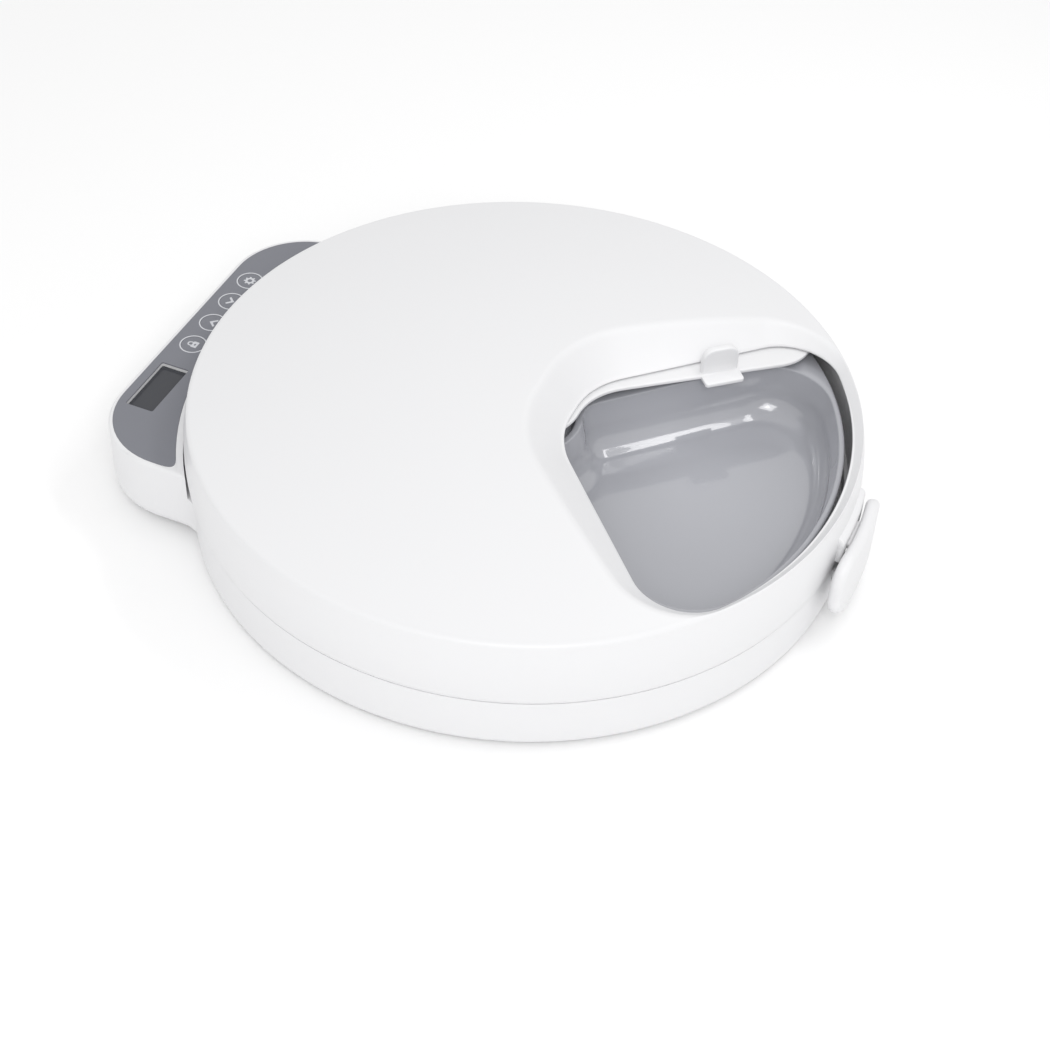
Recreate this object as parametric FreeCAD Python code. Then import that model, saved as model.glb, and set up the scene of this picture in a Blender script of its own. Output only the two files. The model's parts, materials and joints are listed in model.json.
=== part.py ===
import FreeCAD, Part
import math
import os

"""Round rotating-tray pet feeder: base with a rear control panel, turning four-bowl tray, lift-off lid
with a swinging shutter and a front latch. Millimetres. The origin is on the tray's axis at the surface
it stands on, +Z is up, the food opening and the latch face -Y, the control panel faces +Y."""

# ---- walls and gaps ----
WALL = 2.4                  # moulded wall of the lid and the base
RUN_GAP = 0.3               # gap between pieces that move past each other
PART_GAP = 0.2              # gap between loose pieces of one body
RUN_FIT = 0.05              # radial clearance of a shaft that turns in a bore

# ---- lid and base, in plan ----
LID_R = 134.0               # lid, outside, at its widest
LID_TUCK = 1.2              # how far the lid's lower edge lies inside that
CREASE_IN = 1.7             # the same where its side turns into the dome
CREASE_ROUND = 2.4
BASE_IN = 1.5               # the same for the base's wall
BASE_ROUND = 3.5
LIP_H = 3.5                 # ring that centres the lid on the base
LIP_T = 1.7
COVER_RIM = 11.0            # base's floor outside the round plate that closes it
COVER_T = 2.0
COVER_GAP = 0.4
COVER_SCREW_IN = 8.0        # screws, in from the cover's edge
COVER_SCREWS = 6
TRAY_GAP = 2.1              # between the tray's rim and the lip
TRAY_RIM = 2.4              # from the bowls' outer edge to the tray's rim

# ---- heights ----
FOOT_H = 1.5                # how far the feet hold the casing off the surface
FOOT_R = 7.0
FOOT_SINK = 0.8
FOOT_IN = 21.5              # feet, in from the cover's edge
CELL_HEADROOM = 0.6
DECK_T = 2.0                # floor under the tray
SEAM_UP = 3.5               # base's wall above that floor
SEAM_GAP = 0.4
BELLY_DROP = 3.0            # lid's widest place below the tray's rim
CREASE_RISE = 7.6           # crease above the tray's rim
DOME_RISE = 12.8            # dome's top above the food opening's lower edge

# ---- control panel ----
HOUSING_REACH = 23.5        # outer face of the panel's housing, out from the lid
HOUSING_RISE = 10.5         # housing's top above the base's wall
HOUSING_FLOOR = 4.0
HOUSING_CORNER = 33.0
HOUSING_FLARE = 15.0        # hollow radius where the housing runs into the round base
HOUSING_BELLY = 7.0
HOUSING_EDGE = 1.2
LID_CLEAR = 0.7             # gap between the lid's side and the housing
OVERLAY_T = 0.6
OVERLAY_RIM = 1.8
OVERLAY_MARGIN = 2.8        # housing left bare between the overlay and the lid
KEY_R = 4.8
KEY_T = 1.1
KEY_TRAVEL = 0.5
KEY_STEM_R = 3.0
KEY_IN = 11.0               # keys, in from the housing's outer face
KEY_PITCH = 16.0
KEY_NAMES = ("lock", "up", "down", "settings")
WINDOW_W = 28.5
WINDOW_D = 12.5
WINDOW_IN = 11.8            # window, in from the housing's outer face
WINDOW_DEPTH = 2.0
WINDOW_CORNER = 0.8
WINDOW_SIDE = 27.55         # housing beside the window
WINDOW_TO_KEYS = 10.65
KEYS_SIDE = 35.7            # housing beside the last key
LENS_T = 1.4
LENS_LAP = 1.8
BOARD_T = 1.6
BOARD_DROP = 7.4            # control board below the housing's top
BOARD_AHEAD = 5.8           # control board's reach past the window's middle, outwards
BOARD_BEHIND = 6.7          # the same, inwards
PANEL_SCREW_OUT = 5.0       # screws beside the window and beside the last key
PANEL_BOSS_R = 2.3
SWITCH_W = 6.0
SWITCH_H = 3.4
SWITCH_BUTTON_H = 0.8
SWITCH_BUTTON_R = 1.75

# ---- main board ----
MAIN_BOARD_HALF = 42.0
MAIN_BOARD_D = 52.0
MAIN_BOARD_UP = 3.1         # above the cover
MAIN_BOARD_IN = 1.9         # its far corners, in from the cover's edge
BOARD_SCREW_IN = 6.0
RIBBON_W = 12.0
RIBBON_T = 0.8
BUZZER_R = 6.0
BUZZER_H = 5.5

# ---- tray ----
TRAY_LIFT = 0.8             # bowls' undersides above the deck
TRAY_SKIN = 1.6
TRAY_SKIRT = 5.0
BOWL_DEPTH = 21.6
BOWL_CORNER = 24.0
BOWL_INNER_CORNER = 10.0
BOWL_ROUND = 12.0
BOWL_DRAFT = 2.0
BOWL_HUB = 1.3              # bowls' inner edge outside the turret
DIVIDER_HALF = 3.0
BOWLS = 4

# ---- drive ----
GEAR_MODULE = 0.8
RING_TEETH = 40
PINION_TEETH = 10
PRESSURE_ANGLE = 20.0
BACKLASH = 0.16
DEDENDUM = 1.2              # in modules
DRIVER_WALL = 2.54
DRIVER_H = 8.5              # driver's top above the turret
DRIVER_PLATE = 2.0
TURRET_STEP = 2.0           # turret outside the driver
TURRET_WALL = 2.0
SPINDLE_R = 2.5
SPINDLE_SEAT = 6.0          # depth of the spindle in the turret
SPINDLE_WALL = 2.5
SHAFT_R = 1.5
MOTOR_W = 12.0
MOTOR_D = 10.0
MOTOR_UP = 1.1              # motor above the cover
MOTOR_CAN_H = 13.2
GEARBOX_H = 9.2
CLAMP_EAR = 4.2
CLAMP_EAR_D = 5.0
CLAMP_T = 1.2
CLAMP_D = 14.4
DOG_X = 13.0
DOG_W = 4.0
DOG_L = 8.0
DOG_H = 2.0
MAGNET_R = 1.0
MAGNET_T = 3.0
SENSOR_W = 4.4
SENSOR_D = 4.0
SENSOR_T = 1.6
CLIP_UP = 0.3
CLIP_T = 0.6
CLIP_GROOVE = 0.5

# ---- food opening and shutter ----
EDGE_R = 24.0               # the shutter is flat inside this radius, and falls outside it
SHUTTER_SLOPE = 0.041
SHUTTER_T = 1.8
SHUTTER_GAP = 0.6
SHUTTER_OVER_TRAY = 2.45
SHUTTER_SPAN = 88.0
SHUTTER_LEAD = -49.0        # direction of its front edge when open, in degrees from +X
SHUTTER_FRONT = 3.4         # how far that edge passes ahead of the axis
SHUTTER_CORNER = 20.0
SHUTTER_EYE_R = 22.0        # round plate about the axis
SHUTTER_HOLLOW = 29.0       # hollow radius from that plate into the front edge
SHUTTER_HUB_R = 15.0
SHUTTER_BORE_R = 5.05
SHUTTER_HUB_H = 2.4         # hub's depth below the plate
TAB_R = 81.0
TAB_W = 16.5
TAB_T = 3.0
TAB_H = 11.5
TAB_BACK = 1.0
TAB_ROUND = 5.0
TAB_BAR = 5.5               # how far the bar under the tab stands out from the front edge
BAR_CORNER = 1.2
WASHER_R = 8.5
WASHER_T = 1.2
OPENING_TIP = 20.2
OPENING_HALF = 46.45        # angle between each side and -Y
OPENING_SIDE = 2.67         # how far each side lies inside the radial line at that angle
OPENING_IN = 3.9            # outer arc, in from the crease
OPENING_TIP_CORNER = 35.7
OPENING_CORNER = 21.5
FUNNEL_H = 16.0
FUNNEL_TIP = 17.6           # spread of the sloping surround over that height, at the tip
FUNNEL_SIDE = 23.8          # the same at the sides
FUNNEL_RIM = 16.0           # the same at the outer arc
FUNNEL_ROUND = 14.0         # how much rounder its corners are at that height
FUNNEL_TIP_ROUND = 28.0
FUNNEL_SKIN = 2.0

# ---- latch ----
LATCH_OFF = 3.0             # latch plate's back, out from the lid
LATCH_T = 5.5
LATCH_W = 50.7
LATCH_DOWN = 12.5           # its lower edge below the seam
LATCH_UP = 15.5             # its upper edge above the seam
LATCH_CORNER = 9.0
LATCH_EDGE = 2.0
LATCH_PIN_OUT = 0.2
LATCH_PIN_DROP = 3.5        # pin below the latch's upper edge
LATCH_PIN_R = 0.75
KNUCKLE_R = 1.9
KNUCKLE_HALF = 7.0
BOSS_HALF = 12.0
BOSS_OUT = 1.9
BOSS_DROP = 3.4             # boss below the pin
NOSE_HALF = 6.0
NOSE_IN = 1.3               # nose's tip inside the base's wall
NOSE_H = 5.0
NOSE_DROP = 3.5             # nose's top below the seam
NOSE_ROOM = 1.5             # slot below the nose

# ---- batteries ----
CELL_R = 7.25
CELL_L = 50.5
CELL_GAP = 0.5
CELL_NUB_R = 2.75
CELL_NUB = 1.0
CELLS = 4
CELL_RIM = 8.2              # battery door's corners, in from the cover's edge
CONTACT_T = 1.7
CONTACT_R = 3.6
BOX_T = 1.6
DOOR_LAP = 2.4
DOOR_CORNER = 3.0
DOOR_SCREW_OUT = 4.5
TONGUE_HALF = 6.0
TONGUE_IN = 8.0
TONGUE_OUT = 5.0
DOOR_BOSS_R = 6.5
DOOR_BOSS_H = 5.0

# ---- screws ----
SCREW_R = 1.5
SMALL_SCREW_R = 1.2
TINY_SCREW_R = 1.0
HEAD_T = 1.6
SCREW_BOSS_R = 3.4
SCREW_SLACK = 0.3           # radial, in a clearance hole

# ---- worked out from the sizes above ----
LID_BOTTOM_R = LID_R - LID_TUCK
CREASE_R = LID_R - CREASE_IN
BASE_R = LID_R - BASE_IN
LIP_R = LID_BOTTOM_R - WALL - 2 * RUN_GAP
COVER_R = BASE_R - COVER_RIM
FOOT_RING = COVER_R - FOOT_IN
TRAY_R = LIP_R - LIP_T - TRAY_GAP
BOWL_OUTER_R = TRAY_R - TRAY_RIM
SHUTTER_R = CREASE_R - WALL - RUN_GAP
OPENING_R = CREASE_R - OPENING_IN
FUNNEL_RIM_SKIN = OPENING_IN + 0.4      # reaches right through the lid's side wall

CELL_PITCH = 2 * CELL_R + CELL_GAP
PLATE_Z = FOOT_H            # underside of the casing
COVER_TOP = PLATE_Z + COVER_T
CELL_Z = COVER_TOP + CELL_R + PART_GAP
DECK_UNDER = CELL_Z + CELL_R + PART_GAP + CELL_HEADROOM
DECK_Z = DECK_UNDER + DECK_T
SEAM_Z = DECK_Z + SEAM_UP
TRAY_TOP = DECK_Z + TRAY_LIFT + TRAY_SKIN + BOWL_DEPTH
SHUTTER_EDGE_Z = TRAY_TOP + SHUTTER_OVER_TRAY + SHUTTER_T
EDGE_Z = SHUTTER_EDGE_Z + SHUTTER_GAP + SHUTTER_SLOPE * (SHUTTER_R - EDGE_R)
BELLY_Z = TRAY_TOP - BELLY_DROP
CREASE_Z = TRAY_TOP + CREASE_RISE
DOME_TOP_Z = EDGE_Z + DOME_RISE
STEM_END = EDGE_Z - SHUTTER_GAP - SHUTTER_T - SHUTTER_HUB_H

MOTOR_BOTTOM = COVER_TOP + MOTOR_UP
GEARBOX_Z = MOTOR_BOTTOM + MOTOR_CAN_H
GEARBOX_TOP = GEARBOX_Z + GEARBOX_H
TURRET_TOP = GEARBOX_TOP + TURRET_WALL
DRIVER_TOP = TURRET_TOP + DRIVER_H
PINION_PITCH_R = GEAR_MODULE * PINION_TEETH / 2.0
RING_PITCH_R = GEAR_MODULE * RING_TEETH / 2.0
RING_ROOT_R = RING_PITCH_R + DEDENDUM * GEAR_MODULE
LINK_R = RING_PITCH_R - PINION_PITCH_R      # motor shaft from the spindle
DRIVER_R = RING_ROOT_R + DRIVER_WALL
MAGNET_Y = -(RING_ROOT_R + DRIVER_R) / 2
TURRET_R = DRIVER_R + TURRET_STEP
TURRET_ROOM = TURRET_R - TURRET_WALL
BOWL_INNER_R = TURRET_R + BOWL_HUB
SOCKET_R = DRIVER_R + PART_GAP
HUB_ROOM = TURRET_R + 2 * RUN_GAP
HUB_DISH_Z = DRIVER_TOP + DOG_H + 1.5

KEY_SPAN = KEY_PITCH * (len(KEY_NAMES) - 1)
WINDOW_PITCH = WINDOW_W / 2 + WINDOW_TO_KEYS + KEY_R
HOUSING_HALF = (WINDOW_SIDE + WINDOW_W / 2 + WINDOW_PITCH + KEY_SPAN + KEY_R + KEYS_SIDE) / 2
HOUSING_Y = LID_R + HOUSING_REACH
HOUSING_TOP = SEAM_Z + HOUSING_RISE
WINDOW_X = WINDOW_SIDE + WINDOW_W / 2 - HOUSING_HALF
WINDOW_Y = HOUSING_Y - WINDOW_IN
KEY_X0 = WINDOW_X + WINDOW_PITCH
KEY_Y = HOUSING_Y - KEY_IN
PANEL_SCREW_X = (WINDOW_X - WINDOW_W / 2 - PANEL_SCREW_OUT, KEY_X0 + KEY_SPAN + KEY_R + PANEL_SCREW_OUT)
OVERLAY_INNER_R = LID_R + LID_CLEAR + OVERLAY_MARGIN
OVERLAY_START_Y = math.sqrt(OVERLAY_INNER_R ** 2 - HOUSING_HALF ** 2)
LENS_TOP = HOUSING_TOP - WINDOW_DEPTH
BOARD_TOP = HOUSING_TOP - BOARD_DROP
BOARD_Y0 = WINDOW_Y - BOARD_BEHIND
BOARD_Y1 = WINDOW_Y + BOARD_AHEAD
KEY_SEAT = HOUSING_TOP - KEY_T - KEY_TRAVEL - PART_GAP
SWITCH_TOP = BOARD_TOP + SWITCH_H + SWITCH_BUTTON_H
MAIN_BOARD_Z = COVER_TOP + MAIN_BOARD_UP
MAIN_BOARD_TOP = MAIN_BOARD_Z + BOARD_T
MAIN_BOARD_Y1 = math.sqrt((COVER_R - MAIN_BOARD_IN) ** 2 - MAIN_BOARD_HALF ** 2)
MAIN_BOARD_Y0 = MAIN_BOARD_Y1 - MAIN_BOARD_D

LATCH_R = LID_R + LATCH_OFF
LATCH_BOTTOM = SEAM_Z - LATCH_DOWN
LATCH_TOP = SEAM_Z + LATCH_UP
LATCH_PIN_Y = -(LID_R + LATCH_PIN_OUT)
LATCH_PIN_Z = LATCH_TOP - LATCH_PIN_DROP
BOSS_FRONT = LID_R + BOSS_OUT
NOSE_R = BASE_R - NOSE_IN
NOSE_Z1 = SEAM_Z - NOSE_DROP
NOSE_Z0 = NOSE_Z1 - NOSE_H

DOOR_HALF_X = CELL_L / 2 + CONTACT_T + BOX_T + DOOR_LAP
DOOR_HALF_Y = CELLS * CELL_PITCH / 2 + BOX_T + DOOR_LAP
CELL_Y = DOOR_HALF_Y - math.sqrt((COVER_R - CELL_RIM) ** 2 - DOOR_HALF_X ** 2)
SCREW_HOLE_R = SCREW_R + SCREW_SLACK
HEAD_ROOM_R = SCREW_R * 1.9 + SCREW_SLACK


# ---- small makers ----
def vec(x, y, z=0.0):
    return FreeCAD.Vector(x, y, z)


def polar(radius, degrees, z=0.0):
    turn = math.radians(degrees)
    return vec(radius * math.cos(turn), radius * math.sin(turn), z)


def box(x0, x1, y0, y1, z0, z1):
    return Part.makeBox(x1 - x0, y1 - y0, z1 - z0, vec(x0, y0, z0))


def rod(radius, z0, z1, x=0.0, y=0.0):
    return Part.makeCylinder(radius, z1 - z0, vec(x, y, z0))


def rod_x(radius, x0, x1, y, z):
    return Part.makeCylinder(radius, x1 - x0, vec(x0, y, z), vec(1, 0, 0))


def tube(outer, inner, z0, z1, x=0.0, y=0.0):
    return rod(outer, z0, z1, x, y).cut(rod(inner, z0 - 1, z1 + 1, x, y))


def line(a, b):
    return Part.LineSegment(a, b).toShape()


def arc(a, middle, b):
    return Part.Arc(a, middle, b).toShape()


def corner_arc(centre, radius, a, b):
    """The short arc about centre from a to b."""
    middle = (a + b) * 0.5 - centre
    middle.normalize()
    return arc(a, centre + middle * radius, b)


def prism(edges, z0, z1):
    face = Part.Face(Part.Wire(edges))
    solid = face.extrude(vec(0, 0, z1 - z0))
    solid.translate(vec(0, 0, z0))
    return solid


def revolved(start, *steps):
    """Turns a closed outline of (radius, z) points round the Z axis. A pair of points is an arc."""
    edges = []
    here = vec(start[0], 0, start[1])
    for step in steps + (start,):
        if isinstance(step[0], tuple):
            middle = vec(step[0][0], 0, step[0][1])
            there = vec(step[1][0], 0, step[1][1])
            edges.append(arc(here, middle, there))
        else:
            there = vec(step[0], 0, step[1])
            edges.append(line(here, there))
        here = there
    return Part.Face(Part.Wire(edges)).revolve(vec(0, 0, 0), vec(0, 0, 1), 360)


def rounded_plate(x0, x1, y0, y1, z0, z1, radius):
    plate = box(x0, x1, y0, y1, z0, z1)
    return plate.makeFillet(radius, [e for e in plate.Edges if is_upright(e)])


def is_upright(edge):
    a = edge.Vertexes[0].Point
    b = edge.Vertexes[-1].Point
    return abs(a.x - b.x) < 1e-6 and abs(a.y - b.y) < 1e-6 and abs(a.z - b.z) > 1e-6


def edges_at(shape, z):
    """Edges that lie wholly at height z."""
    return [e for e in shape.Edges if abs(e.BoundBox.ZMin - z) < 1e-4 and abs(e.BoundBox.ZMax - z) < 1e-4]


def turned(shape, degrees, x=0.0, y=0.0):
    copy = shape.copy()
    copy.rotate(vec(x, y, 0), vec(0, 0, 1), degrees)
    return copy


def screw(x, y, z_head, length, radius=SCREW_R):
    """Pan-head screw that points up, with its head's face at z_head."""
    head = rod(radius * 1.9, z_head, z_head + HEAD_T, x, y)
    thread = rod(radius, z_head + HEAD_T / 2, z_head + HEAD_T + length, x, y)
    socket = rod(radius * 0.8, z_head, z_head + HEAD_T / 2, x, y)
    return head.fuse(thread).cut(socket).removeSplitter()


def screws(places, z_head, length, radius=SCREW_R):
    return Part.makeCompound([screw(p.x, p.y, z_head, length, radius) for p in places])


# ---- base ----
def housing_outline(inset):
    """Plan of the rear housing, which flares into the round base. Inset moves it inwards."""
    half = HOUSING_HALF - inset
    outer = HOUSING_Y - inset
    corner = HOUSING_CORNER - inset
    flare = HOUSING_FLARE + inset
    flare_x = HOUSING_HALF + HOUSING_FLARE
    flare_y = math.sqrt((BASE_R + HOUSING_FLARE) ** 2 - flare_x ** 2)
    share = (BASE_R - inset) / (BASE_R + HOUSING_FLARE)
    edges = []
    ends = []
    for side in (1, -1):
        centre = vec(side * flare_x, flare_y)
        foot = centre * share
        neck = vec(side * half, flare_y)
        shoulder = vec(side * half, outer - corner)
        top = vec(side * (half - corner), outer)
        edges.append(corner_arc(centre, flare, foot, neck))
        edges.append(line(neck, shoulder))
        edges.append(corner_arc(vec(side * (half - corner), outer - corner), corner, shoulder, top))
        ends.append((foot, top))
    edges.append(line(ends[0][1], ends[1][1]))
    edges.append(line(ends[0][0], ends[1][0]))
    return Part.__sortEdges__(edges)


def housing_block(inset, z0, z1, belly):
    block = prism(housing_outline(inset), z0, z1)
    rounds = []
    for edge in edges_at(block, z0):
        if edge.BoundBox.YLength > 0.01 or edge.BoundBox.YMin > HOUSING_Y - inset - 0.01:
            rounds.append(edge)
    return block.makeFillet(belly, rounds)


def cover_screw_places():
    return [polar(COVER_R - COVER_SCREW_IN, 360.0 * n / COVER_SCREWS) for n in range(COVER_SCREWS)]


def board_screw_places():
    x = MAIN_BOARD_HALF - BOARD_SCREW_IN
    rows = (MAIN_BOARD_Y0 + BOARD_SCREW_IN, MAIN_BOARD_Y1 - BOARD_SCREW_IN)
    return [vec(side * x, y) for side in (-1, 1) for y in rows]


def panel_screw_places():
    return [vec(x, WINDOW_Y) for x in PANEL_SCREW_X]


def base_shell():
    top = SEAM_Z
    outer = revolved(
        (0, PLATE_Z), (BASE_R - BASE_ROUND, PLATE_Z),
        ((BASE_R - BASE_ROUND * 0.293, PLATE_Z + BASE_ROUND * 0.293), (BASE_R, PLATE_Z + BASE_ROUND)),
        (BASE_R, top), (0, top))
    block = housing_block(0, HOUSING_FLOOR, HOUSING_TOP, HOUSING_BELLY)
    rim = [e for e in edges_at(block, HOUSING_TOP) if e.BoundBox.YMax > HOUSING_Y - HOUSING_CORNER]
    block = block.makeFillet(HOUSING_EDGE, rim)
    block = block.cut(rod(LID_R + LID_CLEAR, top, HOUSING_TOP + 1))
    shell = outer.fuse(block)

    inner_r = BASE_R - WALL
    hollow = rod(inner_r, PLATE_Z + WALL, DECK_UNDER)
    hollow = hollow.fuse(rod(COVER_R + COVER_GAP, PLATE_Z - 1, PLATE_Z + WALL + 1))
    cavity_floor = HOUSING_FLOOR + WALL
    cavity = housing_block(WALL, cavity_floor, HOUSING_TOP - WALL, HOUSING_BELLY - WALL)
    wall_r = LID_R + LID_CLEAR + WALL
    cavity = cavity.cut(rod(wall_r, top - WALL, HOUSING_TOP))
    cavity = cavity.cut(rod(inner_r, DECK_UNDER, HOUSING_TOP))
    shell = shell.cut(hollow).cut(cavity)

    shell = shell.cut(rod(inner_r - PART_GAP, DECK_Z, top + 1))
    shell = shell.fuse(tube(LIP_R, LIP_R - LIP_T, DECK_Z - 1, top + LIP_H))
    shell = shell.fuse(tube(inner_r, LIP_R - LIP_T, DECK_Z - 1, top - 1.0))

    shell = shell.fuse(tube(TURRET_R, TURRET_ROOM, DECK_UNDER, TURRET_TOP))
    shell = shell.cut(rod(TURRET_ROOM, DECK_UNDER - 1, GEARBOX_TOP))
    shell = shell.fuse(rod(TURRET_ROOM + TURRET_WALL / 2, GEARBOX_TOP, TURRET_TOP))
    shell = shell.fuse(rod(SPINDLE_R + SPINDLE_WALL, TURRET_TOP - SPINDLE_SEAT, TURRET_TOP))
    shell = shell.cut(rod(SPINDLE_R, TURRET_TOP - SPINDLE_SEAT - 1, TURRET_TOP + 1))
    shell = shell.cut(rod(SHAFT_R + TURRET_WALL, GEARBOX_TOP - 1, TURRET_TOP + 1, 0, LINK_R))

    bosses = [(p, COVER_TOP) for p in cover_screw_places()]
    bosses += [(p, MAIN_BOARD_TOP) for p in board_screw_places()]
    for place, bottom in bosses:
        shell = shell.fuse(rod(SCREW_BOSS_R, bottom, DECK_UNDER + DECK_T / 4, place.x, place.y))
        shell = shell.cut(rod(SCREW_R, bottom - 1, DECK_UNDER - DECK_T / 2, place.x, place.y))
    for place in panel_screw_places():
        shell = shell.fuse(rod(PANEL_BOSS_R, BOARD_TOP, HOUSING_TOP - WALL / 2, place.x, place.y))
        shell = shell.cut(rod(SMALL_SCREW_R, BOARD_TOP - 1, HOUSING_TOP - WALL, place.x, place.y))
    for x in clamp_screw_places():
        ear = box(x - CLAMP_EAR / 2, x + CLAMP_EAR / 2, LINK_R - CLAMP_EAR_D / 2, LINK_R + CLAMP_EAR_D / 2,
                  GEARBOX_Z, TURRET_TOP - TURRET_WALL / 2)
        shell = shell.fuse(ear.cut(rod(TINY_SCREW_R, GEARBOX_Z - 1, GEARBOX_TOP - WALL, x, LINK_R)))

    shell = shell.cut(overlay_plate(-PART_GAP / 2))
    shell = shell.cut(window_block(0, HOUSING_TOP - WALL - 1, HOUSING_TOP + 1))
    shell = shell.cut(window_block(LENS_LAP + PART_GAP, HOUSING_TOP - WALL - 1, LENS_TOP))
    for x in key_places():
        shell = shell.cut(rod(KEY_R + RUN_GAP, KEY_SEAT, HOUSING_TOP + 1, x, KEY_Y))
        shell = shell.cut(rod(KEY_STEM_R + RUN_GAP, HOUSING_TOP - WALL - 1, HOUSING_TOP, x, KEY_Y))
    slot = NOSE_HALF + RUN_GAP
    shell = shell.cut(box(-slot, slot, -BASE_R - 1, -inner_r + 0.01, NOSE_Z0 - NOSE_ROOM, top + 1))
    return shell.removeSplitter()


def clamp_screw_places():
    reach = MOTOR_W / 2 + PART_GAP + CLAMP_EAR / 2
    return [-reach, reach]


def key_places():
    return [KEY_X0 + KEY_PITCH * n for n in range(len(KEY_NAMES))]


def window_block(lap, z0, z1):
    """The display window's own outline, grown by a lap all round."""
    half_w = WINDOW_W / 2 + lap
    half_d = WINDOW_D / 2 + lap
    return rounded_plate(WINDOW_X - half_w, WINDOW_X + half_w, WINDOW_Y - half_d, WINDOW_Y + half_d,
                         z0, z1, WINDOW_CORNER)


def overlay_plate(inset):
    """The grey overlay: the housing's plan set in by a rim, short of the lid's side."""
    z0 = HOUSING_TOP - OVERLAY_T
    plate = prism(housing_outline(OVERLAY_RIM + inset), z0, HOUSING_TOP)
    plate = plate.cut(rod(OVERLAY_INNER_R + inset, z0 - 1, HOUSING_TOP + 1))
    plate = plate.cut(box(-HOUSING_Y, HOUSING_Y, 0, OVERLAY_START_Y, z0 - 1, HOUSING_TOP + 1))
    return plate


def panel_overlay():
    plate = overlay_plate(0)
    plate = plate.cut(window_block(0, LENS_TOP, HOUSING_TOP + 1))
    for x in key_places():
        plate = plate.cut(rod(KEY_R + RUN_GAP, LENS_TOP, HOUSING_TOP + 1, x, KEY_Y))
    return plate


def key(x):
    cap = rod(KEY_R, HOUSING_TOP - KEY_T, HOUSING_TOP, x, KEY_Y)
    stem_bottom = SWITCH_TOP + KEY_TRAVEL + PART_GAP / 2
    stem = rod(KEY_STEM_R, stem_bottom, HOUSING_TOP - KEY_T / 2, x, KEY_Y)
    return cap.fuse(stem).removeSplitter()


def key_switch(x):
    half = SWITCH_W / 2
    body = box(x - half, x + half, KEY_Y - half, KEY_Y + half, BOARD_TOP, BOARD_TOP + SWITCH_H)
    return body.fuse(rod(SWITCH_BUTTON_R, BOARD_TOP, SWITCH_TOP, x, KEY_Y)).removeSplitter()


def display_lens():
    return window_block(LENS_LAP, LENS_TOP - LENS_T, LENS_TOP)


def display_module():
    return window_block(LENS_LAP / 3, BOARD_TOP, LENS_TOP - LENS_T - PART_GAP)


def control_board():
    left = PANEL_SCREW_X[0] - PANEL_BOSS_R
    right = PANEL_SCREW_X[1] + PANEL_BOSS_R
    board = rounded_plate(left, right, BOARD_Y0, BOARD_Y1, BOARD_TOP - BOARD_T, BOARD_TOP, 1.5)
    for place in panel_screw_places():
        board = board.cut(rod(SMALL_SCREW_R + PART_GAP, 0, BOARD_TOP + 1, place.x, place.y))
    return board


def main_board():
    top = MAIN_BOARD_TOP
    near = MAIN_BOARD_Y0
    board = rounded_plate(-MAIN_BOARD_HALF, MAIN_BOARD_HALF, near, MAIN_BOARD_Y1, MAIN_BOARD_Z, top, 2.0)
    for place in board_screw_places():
        board = board.cut(rod(SCREW_HOLE_R, 0, top + 1, place.x, place.y))
    chip = box(-8, 4, near + 16, near + 28, top - 0.1, top + 1.6)
    capacitor = rod(4.0, top - 0.1, top + 8.5, 20, near + 14)
    regulator = box(10, 20, near + 32, near + 38, top - 0.1, top + 2.4)
    return board.fuse([chip, capacitor, regulator]).removeSplitter()


def ribbon_cable():
    """Flat lead from the main board's rear edge up to the underside of the control board."""
    low = MAIN_BOARD_TOP
    half = RIBBON_W / 2
    far = BOARD_Y0 + 3.0
    flat = box(-half, half, MAIN_BOARD_Y1 - 10.0, far, low, low + RIBBON_T)
    upright = box(-half, half, far - RIBBON_T, far, low, BOARD_TOP - BOARD_T)
    return flat.fuse(upright).removeSplitter()


def buzzer():
    low = MAIN_BOARD_TOP
    x = -24.0
    y = MAIN_BOARD_Y0 + 22.0
    top = low + BUZZER_H
    return rod(BUZZER_R, low, top, x, y).cut(rod(1.0, top - 1, top + 1, x, y))


# ---- bottom ----
def door_outline(grow, z0, z1):
    """The battery door with its screw's tongue on the +X side, grown by a gap all round."""
    half_x = DOOR_HALF_X + grow
    half_y = DOOR_HALF_Y + grow
    screw_x = DOOR_HALF_X + DOOR_SCREW_OUT
    door = rounded_plate(-half_x, half_x, CELL_Y - half_y, CELL_Y + half_y, z0, z1, DOOR_CORNER)
    half = TONGUE_HALF + grow
    tongue = rounded_plate(screw_x - TONGUE_IN - grow, screw_x + TONGUE_OUT + grow, CELL_Y - half,
                           CELL_Y + half, z0, z1, DOOR_CORNER)
    return door.fuse(tongue)


def foot_places():
    """One foot under the spindle and four near the rim."""
    return [vec(0, 0)] + [polar(FOOT_RING, 45 + 90 * n) for n in range(4)]


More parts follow.
